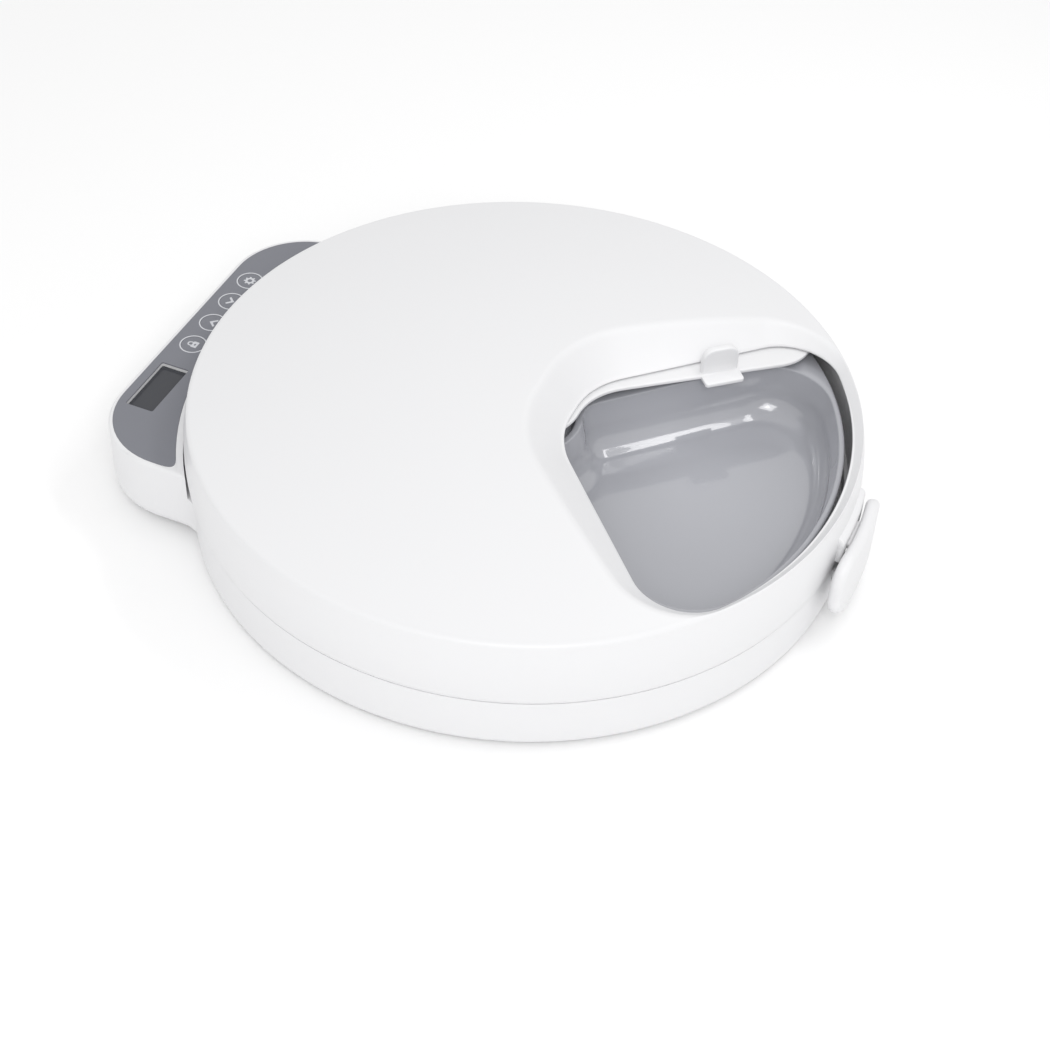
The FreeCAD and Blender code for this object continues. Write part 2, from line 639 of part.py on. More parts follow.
def bottom_cover():
    top = COVER_TOP
    plate = rod(COVER_R, PLATE_Z, top).cut(door_outline(COVER_GAP, PLATE_Z - 1, top + 1))
    x = DOOR_HALF_X + DOOR_SCREW_OUT
    boss = tube(DOOR_BOSS_R, SCREW_R, top, top + DOOR_BOSS_H, x, CELL_Y)
    boss = boss.cut(box(0, x - TONGUE_OUT, -COVER_R, 0, top - 1, top + DOOR_BOSS_H + 1))
    half = TONGUE_HALF + 3.0
    ledge = box(x - 1, x + TONGUE_IN, CELL_Y - half, CELL_Y + half, top, top + BOX_T)
    plate = plate.fuse([boss, ledge.cut(rod(SCREW_R, 0, top + DOOR_BOSS_H, x, CELL_Y))])
    for place in cover_screw_places():
        plate = plate.cut(rod(SCREW_HOLE_R, 0, top + 1, place.x, place.y))
        plate = plate.cut(rod(HEAD_ROOM_R, 0, PLATE_Z + HEAD_T - 0.4, place.x, place.y))
    for place in foot_places():
        plate = plate.cut(rod(FOOT_R + PART_GAP / 2, PLATE_Z - 1, PLATE_Z + FOOT_SINK, place.x, place.y))
    return plate.removeSplitter()


def foot(place):
    pad = rod(FOOT_R, 0, PLATE_Z + FOOT_SINK, place.x, place.y)
    return pad.makeFillet(0.6, edges_at(pad, 0))


def battery_box():
    half_x = CELL_L / 2 + CONTACT_T
    half_y = CELLS * CELL_PITCH / 2
    low = COVER_TOP
    outer = box(-half_x - BOX_T, half_x + BOX_T, CELL_Y - half_y - BOX_T, CELL_Y + half_y + BOX_T,
                low, DECK_UNDER)
    return outer.cut(box(-half_x, half_x, CELL_Y - half_y, CELL_Y + half_y, low - 1, DECK_UNDER + 1))


def cell_y(n):
    return CELL_Y + CELL_PITCH * (n - (CELLS - 1) / 2.0)


def battery(n):
    """One cell, its nub towards +X or -X by turns."""
    half = CELL_L / 2
    cell = rod_x(CELL_R, -half, half - CELL_NUB, cell_y(n), CELL_Z)
    cell = cell.makeFillet(0.5, [e for e in cell.Edges if e.BoundBox.XLength < 0.01])
    cell = cell.fuse(rod_x(CELL_NUB_R, 0, half, cell_y(n), CELL_Z)).removeSplitter()
    return cell if n % 2 else turned(cell, 180, 0, cell_y(n))


def battery_contacts():
    plates = []
    for n in range(CELLS):
        y = cell_y(n)
        for side in (-1, 1):
            x = sorted((side * CELL_L / 2, side * (CELL_L / 2 + CONTACT_T)))
            plates.append(rod_x(CONTACT_R, x[0], x[1], y, CELL_Z))
    return Part.makeCompound(plates)


def battery_door():
    x = DOOR_HALF_X + DOOR_SCREW_OUT
    door = door_outline(0, PLATE_Z, COVER_TOP)
    door = door.cut(rod(SCREW_HOLE_R, 0, COVER_TOP + 1, x, CELL_Y))
    door = door.cut(rod(HEAD_ROOM_R, 0, PLATE_Z + HEAD_T - 0.6, x, CELL_Y))
    return door.removeSplitter()


# ---- drive ----
def flank(teeth, radius, half_pitch_angle):
    """Angle of an involute flank at a radius, from the middle of its tooth."""
    pitch_r = GEAR_MODULE * teeth / 2.0
    base_r = pitch_r * math.cos(math.radians(PRESSURE_ANGLE))
    held = max(radius, base_r)
    here = math.acos(base_r / held)
    pitch = math.radians(PRESSURE_ANGLE)
    return half_pitch_angle + (math.tan(pitch) - pitch) - (math.tan(here) - here)


def gear_edges(teeth, tip_r, root_r, slack):
    """Outline of a spur gear whose first tooth points along +X. Slack thins each tooth."""
    pitch_r = GEAR_MODULE * teeth / 2.0
    half = math.pi / (2 * teeth) - slack / (2 * pitch_r)
    steps = 5
    radii = [root_r + (tip_r - root_r) * n / steps for n in range(steps + 1)]
    points = []
    for tooth in range(teeth):
        middle = 2 * math.pi * tooth / teeth
        rising = [(r, middle - flank(teeth, r, half)) for r in radii]
        falling = [(r, middle + flank(teeth, r, half)) for r in reversed(radii)]
        points += [vec(r * math.cos(a), r * math.sin(a)) for r, a in rising + falling]
    return Part.makePolygon(points + [points[0]]).Edges


def motor_pinion():
    edges = gear_edges(PINION_TEETH, PINION_PITCH_R + GEAR_MODULE,
                       PINION_PITCH_R - DEDENDUM * GEAR_MODULE, BACKLASH)
    pinion = prism(edges, TURRET_TOP + 1.0, DRIVER_TOP - DRIVER_PLATE - 2 * RUN_GAP)
    pinion = turned(pinion, 90)
    pinion.translate(vec(0, LINK_R, 0))
    return pinion.cut(rod(SHAFT_R, 0, 60, 0, LINK_R))


def motor_shaft():
    return rod(SHAFT_R, GEARBOX_TOP + RUN_GAP, DRIVER_TOP - DRIVER_PLATE - RUN_GAP, 0, LINK_R)


def tray_driver():
    low = TURRET_TOP + RUN_GAP
    cup = rod(DRIVER_R, low, DRIVER_TOP)
    edges = gear_edges(RING_TEETH, RING_ROOT_R, RING_PITCH_R - GEAR_MODULE, -BACKLASH)
    teeth = turned(prism(edges, low - 1, DRIVER_TOP - DRIVER_PLATE), 90)
    hub = rod(SPINDLE_R + SPINDLE_WALL + 0.5, low, DRIVER_TOP)
    cup = cup.cut(teeth).fuse(hub)
    cup = cup.cut(rod(SPINDLE_R + RUN_FIT, 0, DRIVER_TOP + 1))
    for x in (-DOG_X, DOG_X):
        cup = cup.fuse(box(x - DOG_W / 2, x + DOG_W / 2, -DOG_L / 2, DOG_L / 2,
                           DRIVER_TOP - DRIVER_PLATE / 2, DRIVER_TOP + DOG_H))
    return cup.cut(rod(MAGNET_R, low - 1, low + MAGNET_T, 0, MAGNET_Y)).removeSplitter()


def driver_magnet():
    low = TURRET_TOP + RUN_GAP
    return rod(MAGNET_R, low, low + MAGNET_T, 0, MAGNET_Y)


def magnet_sensor():
    reach = TURRET_ROOM - 1.0
    return box(-SENSOR_W / 2, SENSOR_W / 2, -reach, -reach + SENSOR_D, GEARBOX_TOP - SENSOR_T, GEARBOX_TOP)


def spindle():
    low = DRIVER_TOP + CLIP_UP
    pin = rod(SPINDLE_R, TURRET_TOP - SPINDLE_SEAT, low + CLIP_T + CLIP_GROOVE)
    return pin.cut(tube(SPINDLE_R + 1, SPINDLE_R - CLIP_GROOVE, low, low + CLIP_T))


def spindle_clip():
    low = DRIVER_TOP + CLIP_UP
    ring = tube(SPINDLE_R + 2.0, SPINDLE_R - CLIP_GROOVE, low, low + CLIP_T)
    return ring.cut(box(-SPINDLE_R / 2, SPINDLE_R / 2, 0, SPINDLE_R * 3, 0, low + 1))


def motor_can_shape(grow):
    half = MOTOR_D / 2 + grow
    return rod(MOTOR_W / 2 + grow, MOTOR_BOTTOM, GEARBOX_Z, 0, LINK_R).common(
        box(-MOTOR_W, MOTOR_W, LINK_R - half, LINK_R + half, 0, GEARBOX_Z))


def motor_can():
    return motor_can_shape(0)


def motor_gearbox():
    case = box(-MOTOR_W / 2, MOTOR_W / 2, LINK_R - MOTOR_D / 2, LINK_R + MOTOR_D / 2, GEARBOX_Z, GEARBOX_TOP)
    return case.cut(rod(SHAFT_R + RUN_FIT, GEARBOX_TOP - 2, GEARBOX_TOP + 1, 0, LINK_R))


def motor_clamp():
    """Plate under the gearbox's corners, screwed to the two ears that hang beside it."""
    half = MOTOR_W / 2 + PART_GAP + CLAMP_EAR
    strap = box(-half, half, LINK_R - CLAMP_D / 2, LINK_R + CLAMP_D / 2, GEARBOX_Z - CLAMP_T, GEARBOX_Z)
    strap = strap.common(rod(TURRET_ROOM - PART_GAP, 0, GEARBOX_Z))
    strap = strap.cut(motor_can_shape(PART_GAP))
    for x in clamp_screw_places():
        strap = strap.cut(rod(TINY_SCREW_R + PART_GAP, 0, GEARBOX_Z, x, LINK_R))
    return strap


# ---- tray ----
def sector_edges(inner, outer, side, corner, inner_corner, z):
    """Rounded quarter ring between the +X and +Y axes, each side lying a distance off its axis."""
    def flip(p):
        return vec(p.y, p.x, p.z)

    reach = outer - corner
    big = vec(math.sqrt(reach ** 2 - (side + corner) ** 2), side + corner, z)
    big_line = vec(big.x, side, z)
    scale = outer / reach
    big_ring = vec(big.x * scale, big.y * scale, z)
    close = inner + inner_corner
    small = vec(math.sqrt(close ** 2 - (side + inner_corner) ** 2), side + inner_corner, z)
    small_line = vec(small.x, side, z)
    scale = inner / close
    small_ring = vec(small.x * scale, small.y * scale, z)
    return [
        line(small_line, big_line),
        corner_arc(big, corner, big_line, big_ring),
        arc(big_ring, polar(outer, 45, z), flip(big_ring)),
        corner_arc(flip(big), corner, flip(big_ring), flip(big_line)),
        line(flip(big_line), flip(small_line)),
        corner_arc(flip(small), inner_corner, flip(small_line), flip(small_ring)),
        arc(flip(small_ring), polar(inner, 45, z), small_ring),
        corner_arc(small, inner_corner, small_ring, small_line)]


def bowl_section(inset, z):
    return Part.Wire(sector_edges(
        BOWL_INNER_R + inset * 0.75, BOWL_OUTER_R - inset, DIVIDER_HALF + inset * 0.9,
        BOWL_CORNER - inset * 0.8, BOWL_INNER_CORNER - inset * 0.4, z))


def bowl(extra):
    """One bowl's hollow. Extra makes it larger all round, for the outside of its skin."""
    straight = BOWL_DEPTH - BOWL_ROUND
    sections = [bowl_section(-extra, TRAY_TOP + 1.0)]
    sections.append(bowl_section(BOWL_DRAFT - extra, TRAY_TOP - straight))
    for n in (1, 2, 3, 4):
        turn = math.radians(90.0 * n / 4)
        inset = BOWL_DRAFT + BOWL_ROUND * (1 - math.cos(turn))
        depth = straight + BOWL_ROUND * math.sin(turn)
        sections.append(bowl_section(inset - extra, TRAY_TOP - depth - extra * math.sin(turn)))
    return Part.makeLoft(sections, True, True)


def tray_hub():
    """Centre of the tray, over the turret and the driver, with a shallow dish in its top."""
    return revolved(
        (0, DRIVER_TOP), (SOCKET_R, DRIVER_TOP), (SOCKET_R, TURRET_TOP + RUN_GAP),
        (HUB_ROOM, TURRET_TOP + RUN_GAP), (HUB_ROOM, DECK_Z + TRAY_LIFT),
        (HUB_ROOM + TRAY_SKIN, DECK_Z + TRAY_LIFT),
        (BOWL_INNER_R + 1.0, TRAY_TOP - BOWL_ROUND), (BOWL_INNER_R - 0.4, TRAY_TOP),
        (BOWL_INNER_R - 2.6, TRAY_TOP), (BOWL_INNER_R - 4.5, HUB_DISH_Z), (0, HUB_DISH_Z))


def tray_rim():
    """Flat top of the tray and the short skirt round its edge."""
    inner = BOWL_INNER_R - TRAY_SKIN
    soft = TRAY_SKIN / 2
    skirt = TRAY_R - 0.75 * TRAY_SKIN
    return revolved(
        (inner, TRAY_TOP), (TRAY_R - soft, TRAY_TOP),
        ((TRAY_R - soft * 0.293, TRAY_TOP - soft * 0.293), (TRAY_R, TRAY_TOP - soft)),
        (TRAY_R, TRAY_TOP - TRAY_SKIRT), (skirt, TRAY_TOP - TRAY_SKIRT), (skirt, TRAY_TOP - TRAY_SKIN),
        (inner, TRAY_TOP - TRAY_SKIN))


def feed_tray():
    tray = tray_rim()
    under = rod(TRAY_R, 0, TRAY_TOP - TRAY_SKIN / 3)
    quarters = [90 * n + 45 for n in range(BOWLS)]
    for quarter in quarters:
        tray = tray.fuse(turned(bowl(TRAY_SKIN), quarter).common(under))
    tray = tray.fuse(tray_hub())
    tray = tray.cut(rod(SOCKET_R, TURRET_TOP, DRIVER_TOP)).cut(rod(HUB_ROOM, DECK_Z, TURRET_TOP + RUN_GAP))
    for quarter in quarters:
        tray = tray.cut(turned(bowl(0), quarter))
    tray = tray.cut(rod(SPINDLE_R + 3.0, DRIVER_TOP - 1, DRIVER_TOP + DOG_H))
    half_x = DOG_W / 2 + PART_GAP
    half_y = DOG_L / 2 + PART_GAP
    top = DRIVER_TOP + DOG_H + PART_GAP
    for x in (-DOG_X, DOG_X):
        tray = tray.cut(box(x - half_x, x + half_x, -half_y, half_y, DRIVER_TOP - 1, top))
    return tray.removeSplitter()


# ---- lid ----
def dome_height(radius, top, edge_r, edge_z):
    drop = top - edge_z
    bend = (edge_r ** 2 + drop ** 2) / (2 * drop)
    return top - (bend - math.sqrt(bend ** 2 - radius ** 2))


def lid_body(skin, low):
    """Solid of the lid's outside, or of its inside when skin is the wall."""
    crease_r = CREASE_R - skin
    crease_z = CREASE_Z - skin
    dome_r = crease_r - CREASE_ROUND
    dome_z = crease_z + CREASE_ROUND * 0.85
    top = DOME_TOP_Z - skin
    middle = (dome_r / 2, dome_height(dome_r / 2, top, dome_r, dome_z))
    bulge = (LID_R - skin, BELLY_Z - skin / 2)
    return revolved(
        (0, low), (LID_BOTTOM_R - skin, low), (bulge, (crease_r, crease_z)),
        ((crease_r - CREASE_ROUND * 0.24, crease_z + CREASE_ROUND * 0.62), (dome_r, dome_z)),
        (middle, (0, top)))


def opening_edges(share, skin, rim_skin, z):
    """Outline of the food opening: a straight tip, two slanting sides and an arc about the axis. Share is
    0 at the opening's lower edge and 1 at the top of the sloping surround."""
    half = math.radians(OPENING_HALF)
    along = vec(math.sin(half), -math.cos(half))
    inward = vec(-math.cos(half), -math.sin(half))
    tip_y = -OPENING_TIP + skin + share * FUNNEL_TIP
    side = OPENING_SIDE - skin - share * FUNNEL_SIDE
    outer = OPENING_R + rim_skin + share * FUNNEL_RIM
    corner = OPENING_CORNER + skin + share * FUNNEL_ROUND
    tip_corner = OPENING_TIP_CORNER + skin + share * FUNNEL_TIP_ROUND

    meet = along * ((tip_y - inward.y * side) / along.y) + inward * side
    meet.z = z
    cut_back = tip_corner * math.tan((math.pi / 2 - half) / 2)
    tip_end = meet - vec(cut_back, 0)
    side_start = meet + along * cut_back
    tip_centre = tip_end - vec(0, tip_corner)
    reach = outer - corner
    centre = along * math.sqrt(reach ** 2 - (side + corner) ** 2) + inward * (side + corner)
    centre.z = z
    side_end = centre - inward * corner
    ring = vec(centre.x * outer / reach, centre.y * outer / reach, z)

    def mirror(p):
        return vec(-p.x, p.y, p.z)

    return [
        line(mirror(tip_end), tip_end),
        corner_arc(tip_centre, tip_corner, tip_end, side_start),
        line(side_start, side_end),
        corner_arc(centre, corner, side_end, ring),
        arc(ring, vec(0, -outer, z), mirror(ring)),
        corner_arc(mirror(centre), corner, mirror(ring), mirror(side_end)),
        line(mirror(side_end), mirror(side_start)),
        corner_arc(mirror(tip_centre), tip_corner, mirror(side_start), mirror(tip_end))]


def tilted(shape):
    """Drops the opening's flat frame onto the slope that its lower edge follows."""
    shape.rotate(vec(0, -EDGE_R, 0), vec(1, 0, 0), math.degrees(math.atan(SHUTTER_SLOPE)))
    shape.translate(vec(0, 0, EDGE_Z))
    return shape


def funnel(skin, rim_skin):
    """Sloping surround of the opening with its short upright edge below, grown by a skin all round."""
    slope = Part.makeLoft([
        Part.Wire(opening_edges(0, skin, rim_skin, 0)),
        Part.Wire(opening_edges(1, skin, rim_skin, FUNNEL_H))], True, True)
    edge = prism(opening_edges(0, skin, rim_skin, 0), -14.0, 0.01)
    return tilted(slope.fuse(edge))


def shutter_height(radius):
    return EDGE_Z - SHUTTER_GAP - SHUTTER_SLOPE * (max(radius, EDGE_R) - EDGE_R)


def shutter_room(reach, lift):
    """Everything below the shutter's upper face, raised by lift."""
    return revolved((0, SEAM_Z), (reach, SEAM_Z), (reach, shutter_height(reach) + lift),
                    (EDGE_R, shutter_height(EDGE_R) + lift), (0, shutter_height(0) + lift))


def lid_shell():
    outer = lid_body(0, SEAM_Z + SEAM_GAP)
    inner = lid_body(WALL, SEAM_Z)
    shell = outer.cut(inner)
    surround = funnel(FUNNEL_SKIN, FUNNEL_RIM_SKIN).common(outer)
    surround = surround.cut(shutter_room(SHUTTER_R + SHUTTER_GAP, SHUTTER_GAP))
    seat = shutter_height(0) + RUN_GAP
    stem = rod(SHUTTER_HUB_R - 5.0, seat, DOME_TOP_Z - WALL / 2)
    stem = stem.fuse(rod(SHUTTER_BORE_R - RUN_FIT, STEM_END, seat + 1))
    stem = stem.cut(rod(SMALL_SCREW_R, STEM_END - 1, seat + 4))
    shell = shell.fuse([surround, stem]).cut(funnel(0, 0))

    boss = box(-BOSS_HALF, BOSS_HALF, -BOSS_FRONT, -LID_R + WALL + 2.0, LATCH_PIN_Z - BOSS_DROP, LATCH_TOP)
    boss = boss.makeFillet(1.0, [e for e in boss.Edges if is_upright(e) and e.BoundBox.YMax < -LID_R])
    shell = shell.fuse(boss)
    slot = KNUCKLE_HALF + RUN_GAP
    shell = shell.cut(rod_x(KNUCKLE_R + RUN_GAP, -slot, slot, LATCH_PIN_Y, LATCH_PIN_Z))
    shell = shell.cut(box(-slot, slot, -BOSS_FRONT - 1, LATCH_PIN_Y, LATCH_PIN_Z - BOSS_DROP,
                          LATCH_PIN_Z + KNUCKLE_R + RUN_GAP))
    shell = shell.cut(rod_x(LATCH_PIN_R, -BOSS_HALF - 1, BOSS_HALF - 1.0, LATCH_PIN_Y, LATCH_PIN_Z))
    return shell.removeSplitter()


def shutter_plate_edges():
    """Plan of the shutter with its front edge along +X: a sector with a rounded front corner, running by a
    hollow curve into a round plate about the axis."""
    reach = SHUTTER_R - SHUTTER_CORNER
    centre = vec(0, SHUTTER_CORNER - SHUTTER_FRONT)
    centre.x = math.sqrt(reach ** 2 - centre.y ** 2)
    ring = centre * (SHUTTER_R / reach)
    start = math.degrees(math.atan2(ring.y, ring.x))
    hollow = vec(0, -SHUTTER_HOLLOW - SHUTTER_FRONT)
    hollow.x = math.sqrt((SHUTTER_EYE_R + SHUTTER_HOLLOW) ** 2 - hollow.y ** 2)
    eye_end = hollow * (SHUTTER_EYE_R / (SHUTTER_EYE_R + SHUTTER_HOLLOW))
    eye_turn = 360 + math.degrees(math.atan2(eye_end.y, eye_end.x))
    front_start = vec(hollow.x, -SHUTTER_FRONT)
    front_end = vec(centre.x, -SHUTTER_FRONT)
    return [
        corner_arc(hollow, SHUTTER_HOLLOW, eye_end, front_start),
        line(front_start, front_end),
        corner_arc(centre, SHUTTER_CORNER, front_end, ring),
        arc(ring, polar(SHUTTER_R, (start + SHUTTER_SPAN) / 2), polar(SHUTTER_R, SHUTTER_SPAN)),
        line(polar(SHUTTER_R, SHUTTER_SPAN), polar(SHUTTER_EYE_R, SHUTTER_SPAN)),
        arc(polar(SHUTTER_EYE_R, SHUTTER_SPAN), polar(SHUTTER_EYE_R, (SHUTTER_SPAN + eye_turn) / 2), eye_end)]


def shutter():
    skin = shutter_room(SHUTTER_R + 5, 0).cut(shutter_room(SHUTTER_R + 6, -SHUTTER_T))
    plan = prism(shutter_plate_edges(), SEAM_Z, DOME_TOP_Z)
    half = TAB_W / 2
    bar = rounded_plate(TAB_R - half, TAB_R + half, -SHUTTER_FRONT - TAB_BAR, TAB_BAR, SEAM_Z, DOME_TOP_Z,
                        BAR_CORNER)
    plate = skin.common(plan.fuse(bar))
    hub = rod(SHUTTER_HUB_R, STEM_END + RUN_GAP, shutter_height(0))
    root = shutter_height(TAB_R) - 1.0
    face = TAB_BACK - SHUTTER_FRONT
    half -= 0.5
    tab = box(TAB_R - half, TAB_R + half, face, face + TAB_T, root, root + TAB_H + 1)
    shoulders = [e for e in tab.Edges if e.BoundBox.YLength > TAB_T - 0.01 and e.BoundBox.ZMin > root + 1]
    tab = tab.makeFillet(TAB_ROUND, shoulders)
    whole = plate.fuse(hub).fuse(tab).cut(rod(SHUTTER_BORE_R, 0, DOME_TOP_Z))
    return turned(whole.removeSplitter(), SHUTTER_LEAD)


def shutter_washer():
    return tube(WASHER_R, SMALL_SCREW_R + SCREW_SLACK, STEM_END - WASHER_T, STEM_END)


def washer_screw():
    return screw(0, 0, STEM_END - WASHER_T - HEAD_T, 9.0, SMALL_SCREW_R)


def latch_lever():
    ring = tube(LATCH_R + LATCH_T, LATCH_R, LATCH_BOTTOM, LATCH_TOP)
    window = box(-LATCH_W / 2, LATCH_W / 2, -LATCH_R - 20, -LATCH_R / 2, LATCH_BOTTOM, LATCH_TOP)
    corners = [e for e in window.Edges if e.BoundBox.YLength > 1 and e.BoundBox.XLength < 0.01]
    window = window.makeFillet(LATCH_CORNER, corners)
    plate = ring.common(window)
    rims = [e for e in plate.Edges if e.BoundBox.XLength > 0.5 or e.BoundBox.ZLength > 0.5]
    plate = plate.makeFillet(LATCH_EDGE, rims)
    neck = rod_x(KNUCKLE_R, -KNUCKLE_HALF, KNUCKLE_HALF, LATCH_PIN_Y, LATCH_PIN_Z)
    web = box(-KNUCKLE_HALF, KNUCKLE_HALF, -LATCH_R - 1.5, LATCH_PIN_Y, LATCH_PIN_Z - KNUCKLE_R,
              LATCH_PIN_Z + KNUCKLE_R / 3)
    nose = box(-NOSE_HALF, NOSE_HALF, -LATCH_R - 1.5, -NOSE_R, NOSE_Z0, NOSE_Z1)
    tip = [e for e in nose.Edges if e.BoundBox.XLength > 1 and e.BoundBox.YMin > -NOSE_R - 0.01]
    nose = nose.makeFillet(1.4, tip)
    lever = plate.fuse([neck, web, nose])
    return lever.cut(rod_x(LATCH_PIN_R + RUN_FIT, -30, 30, LATCH_PIN_Y, LATCH_PIN_Z)).removeSplitter()


def latch_pin():
    return rod_x(LATCH_PIN_R, -BOSS_HALF, BOSS_HALF - 1.0, LATCH_PIN_Y, LATCH_PIN_Z)


# ---- all the pieces ----
def pieces():
    named = {
        "base_shell": base_shell(), "bottom_cover": bottom_cover(), "battery_door": battery_door(),
        "battery_box": battery_box(), "battery_contacts": battery_contacts(),
        "panel_overlay": panel_overlay(), "display_lens": display_lens(), "display_module": display_module(),
        "control_board": control_board(), "main_board": main_board(), "ribbon_cable": ribbon_cable(),
        "buzzer": buzzer(), "motor_can": motor_can(), "motor_gearbox": motor_gearbox(),
        "motor_clamp": motor_clamp(), "motor_shaft": motor_shaft(), "motor_pinion": motor_pinion(),
        "spindle": spindle(), "spindle_clip": spindle_clip(), "magnet_sensor": magnet_sensor(),
        "driver_magnet": driver_magnet(), "tray_driver": tray_driver(), "feed_tray": feed_tray(),
        "lid_shell": lid_shell(), "shutter": shutter(), "shutter_washer": shutter_washer(),
        "washer_screw": washer_screw(), "latch_lever": latch_lever(), "latch_pin": latch_pin()}
    for n in range(CELLS):
        named["battery_%d" % (n + 1)] = battery(n)
    for n, place in enumerate(foot_places()):
        named["foot_%d" % (n + 1)] = foot(place)
    for name, x in zip(KEY_NAMES, key_places()):
        named["key_" + name] = key(x)
        named["switch_" + name] = key_switch(x)
    named["cover_screws"] = screws(cover_screw_places(), PLATE_Z - 0.4, 9.0)
    named["board_screws"] = screws(board_screw_places(), MAIN_BOARD_Z - HEAD_T, 7.0)
    named["panel_screws"] = screws(panel_screw_places(), BOARD_TOP - BOARD_T - HEAD_T, 5.5, SMALL_SCREW_R)
    clamp_places = [vec(x, LINK_R) for x in clamp_screw_places()]
    named["clamp_screws"] = screws(clamp_places, GEARBOX_Z - CLAMP_T - HEAD_T, 5.0, TINY_SCREW_R)
    named["door_screw"] = screw(DOOR_HALF_X + DOOR_SCREW_OUT, CELL_Y, PLATE_Z - 0.6, 5.5)
    return named


os.makedirs("parts", exist_ok=True)
for node, shape in pieces().items():
    shape.exportStep("parts/" + node + ".step")
    print(node, len(shape.Solids), shape.isValid(), round(shape.Volume / 1000.0, 2))
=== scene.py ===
import json
import math

import bpy
from mathutils import Matrix, Vector


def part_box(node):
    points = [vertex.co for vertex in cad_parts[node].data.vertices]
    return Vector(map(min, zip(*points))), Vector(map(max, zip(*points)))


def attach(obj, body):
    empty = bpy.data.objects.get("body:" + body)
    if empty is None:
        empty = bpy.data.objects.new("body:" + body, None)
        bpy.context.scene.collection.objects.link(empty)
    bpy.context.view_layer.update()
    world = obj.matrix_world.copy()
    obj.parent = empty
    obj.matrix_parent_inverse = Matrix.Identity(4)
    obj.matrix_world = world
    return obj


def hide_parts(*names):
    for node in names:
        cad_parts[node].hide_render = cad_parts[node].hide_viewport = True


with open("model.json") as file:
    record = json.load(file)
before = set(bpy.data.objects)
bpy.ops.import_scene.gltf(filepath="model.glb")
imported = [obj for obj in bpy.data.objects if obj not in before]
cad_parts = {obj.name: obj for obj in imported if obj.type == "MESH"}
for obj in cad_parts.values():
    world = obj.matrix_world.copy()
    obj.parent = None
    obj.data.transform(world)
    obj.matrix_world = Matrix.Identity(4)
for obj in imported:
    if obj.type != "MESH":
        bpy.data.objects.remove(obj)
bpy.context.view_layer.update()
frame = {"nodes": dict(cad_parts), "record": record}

# Looks of the round pet feeder: moulded white casing, polished grey bowls, matt grey key panel, soft studio
# light on a pale floor. Sizes of the pieces are in millimetres and MM turns them into metres. The camera, the
# lamps and the floor are in metres.

MM = 0.001
MERGE = 2e-6                # points closer than this, in metres, become one
AXIS = Vector((0, 0))
nodes = frame["nodes"]


# ---------------------------------------------------------------- node helpers
def new_material(name):
    mat = bpy.data.materials.new(name)
    mat.use_nodes = True
    tree = mat.node_tree
    tree.nodes.clear()
    out = tree.nodes.new("ShaderNodeOutputMaterial")
    shader = tree.nodes.new("ShaderNodeBsdfPrincipled")
    tree.links.new(shader.outputs["BSDF"], out.inputs["Surface"])
    return mat, tree, shader


def add(tree, kind, **values):
    node = tree.nodes.new(kind)
    for key, value in values.items():
        if key in node.inputs:
            node.inputs[key].default_value = value
        else:
            setattr(node, key, value)
    return node


def group_tree(name, inputs, outputs):
    """A node group with named sockets: inputs are (name, kind, default), outputs are (name, kind)."""
    tree = bpy.data.node_groups.new(name, "ShaderNodeTree")
    for label, kind, default in inputs:
        socket = tree.interface.new_socket(label, in_out="INPUT", socket_type=kind)
        if default is not None:
            socket.default_value = default
    for label, kind in outputs:
        tree.interface.new_socket(label, in_out="OUTPUT", socket_type=kind)
    return tree, tree.nodes.new("NodeGroupInput"), tree.nodes.new("NodeGroupOutput")


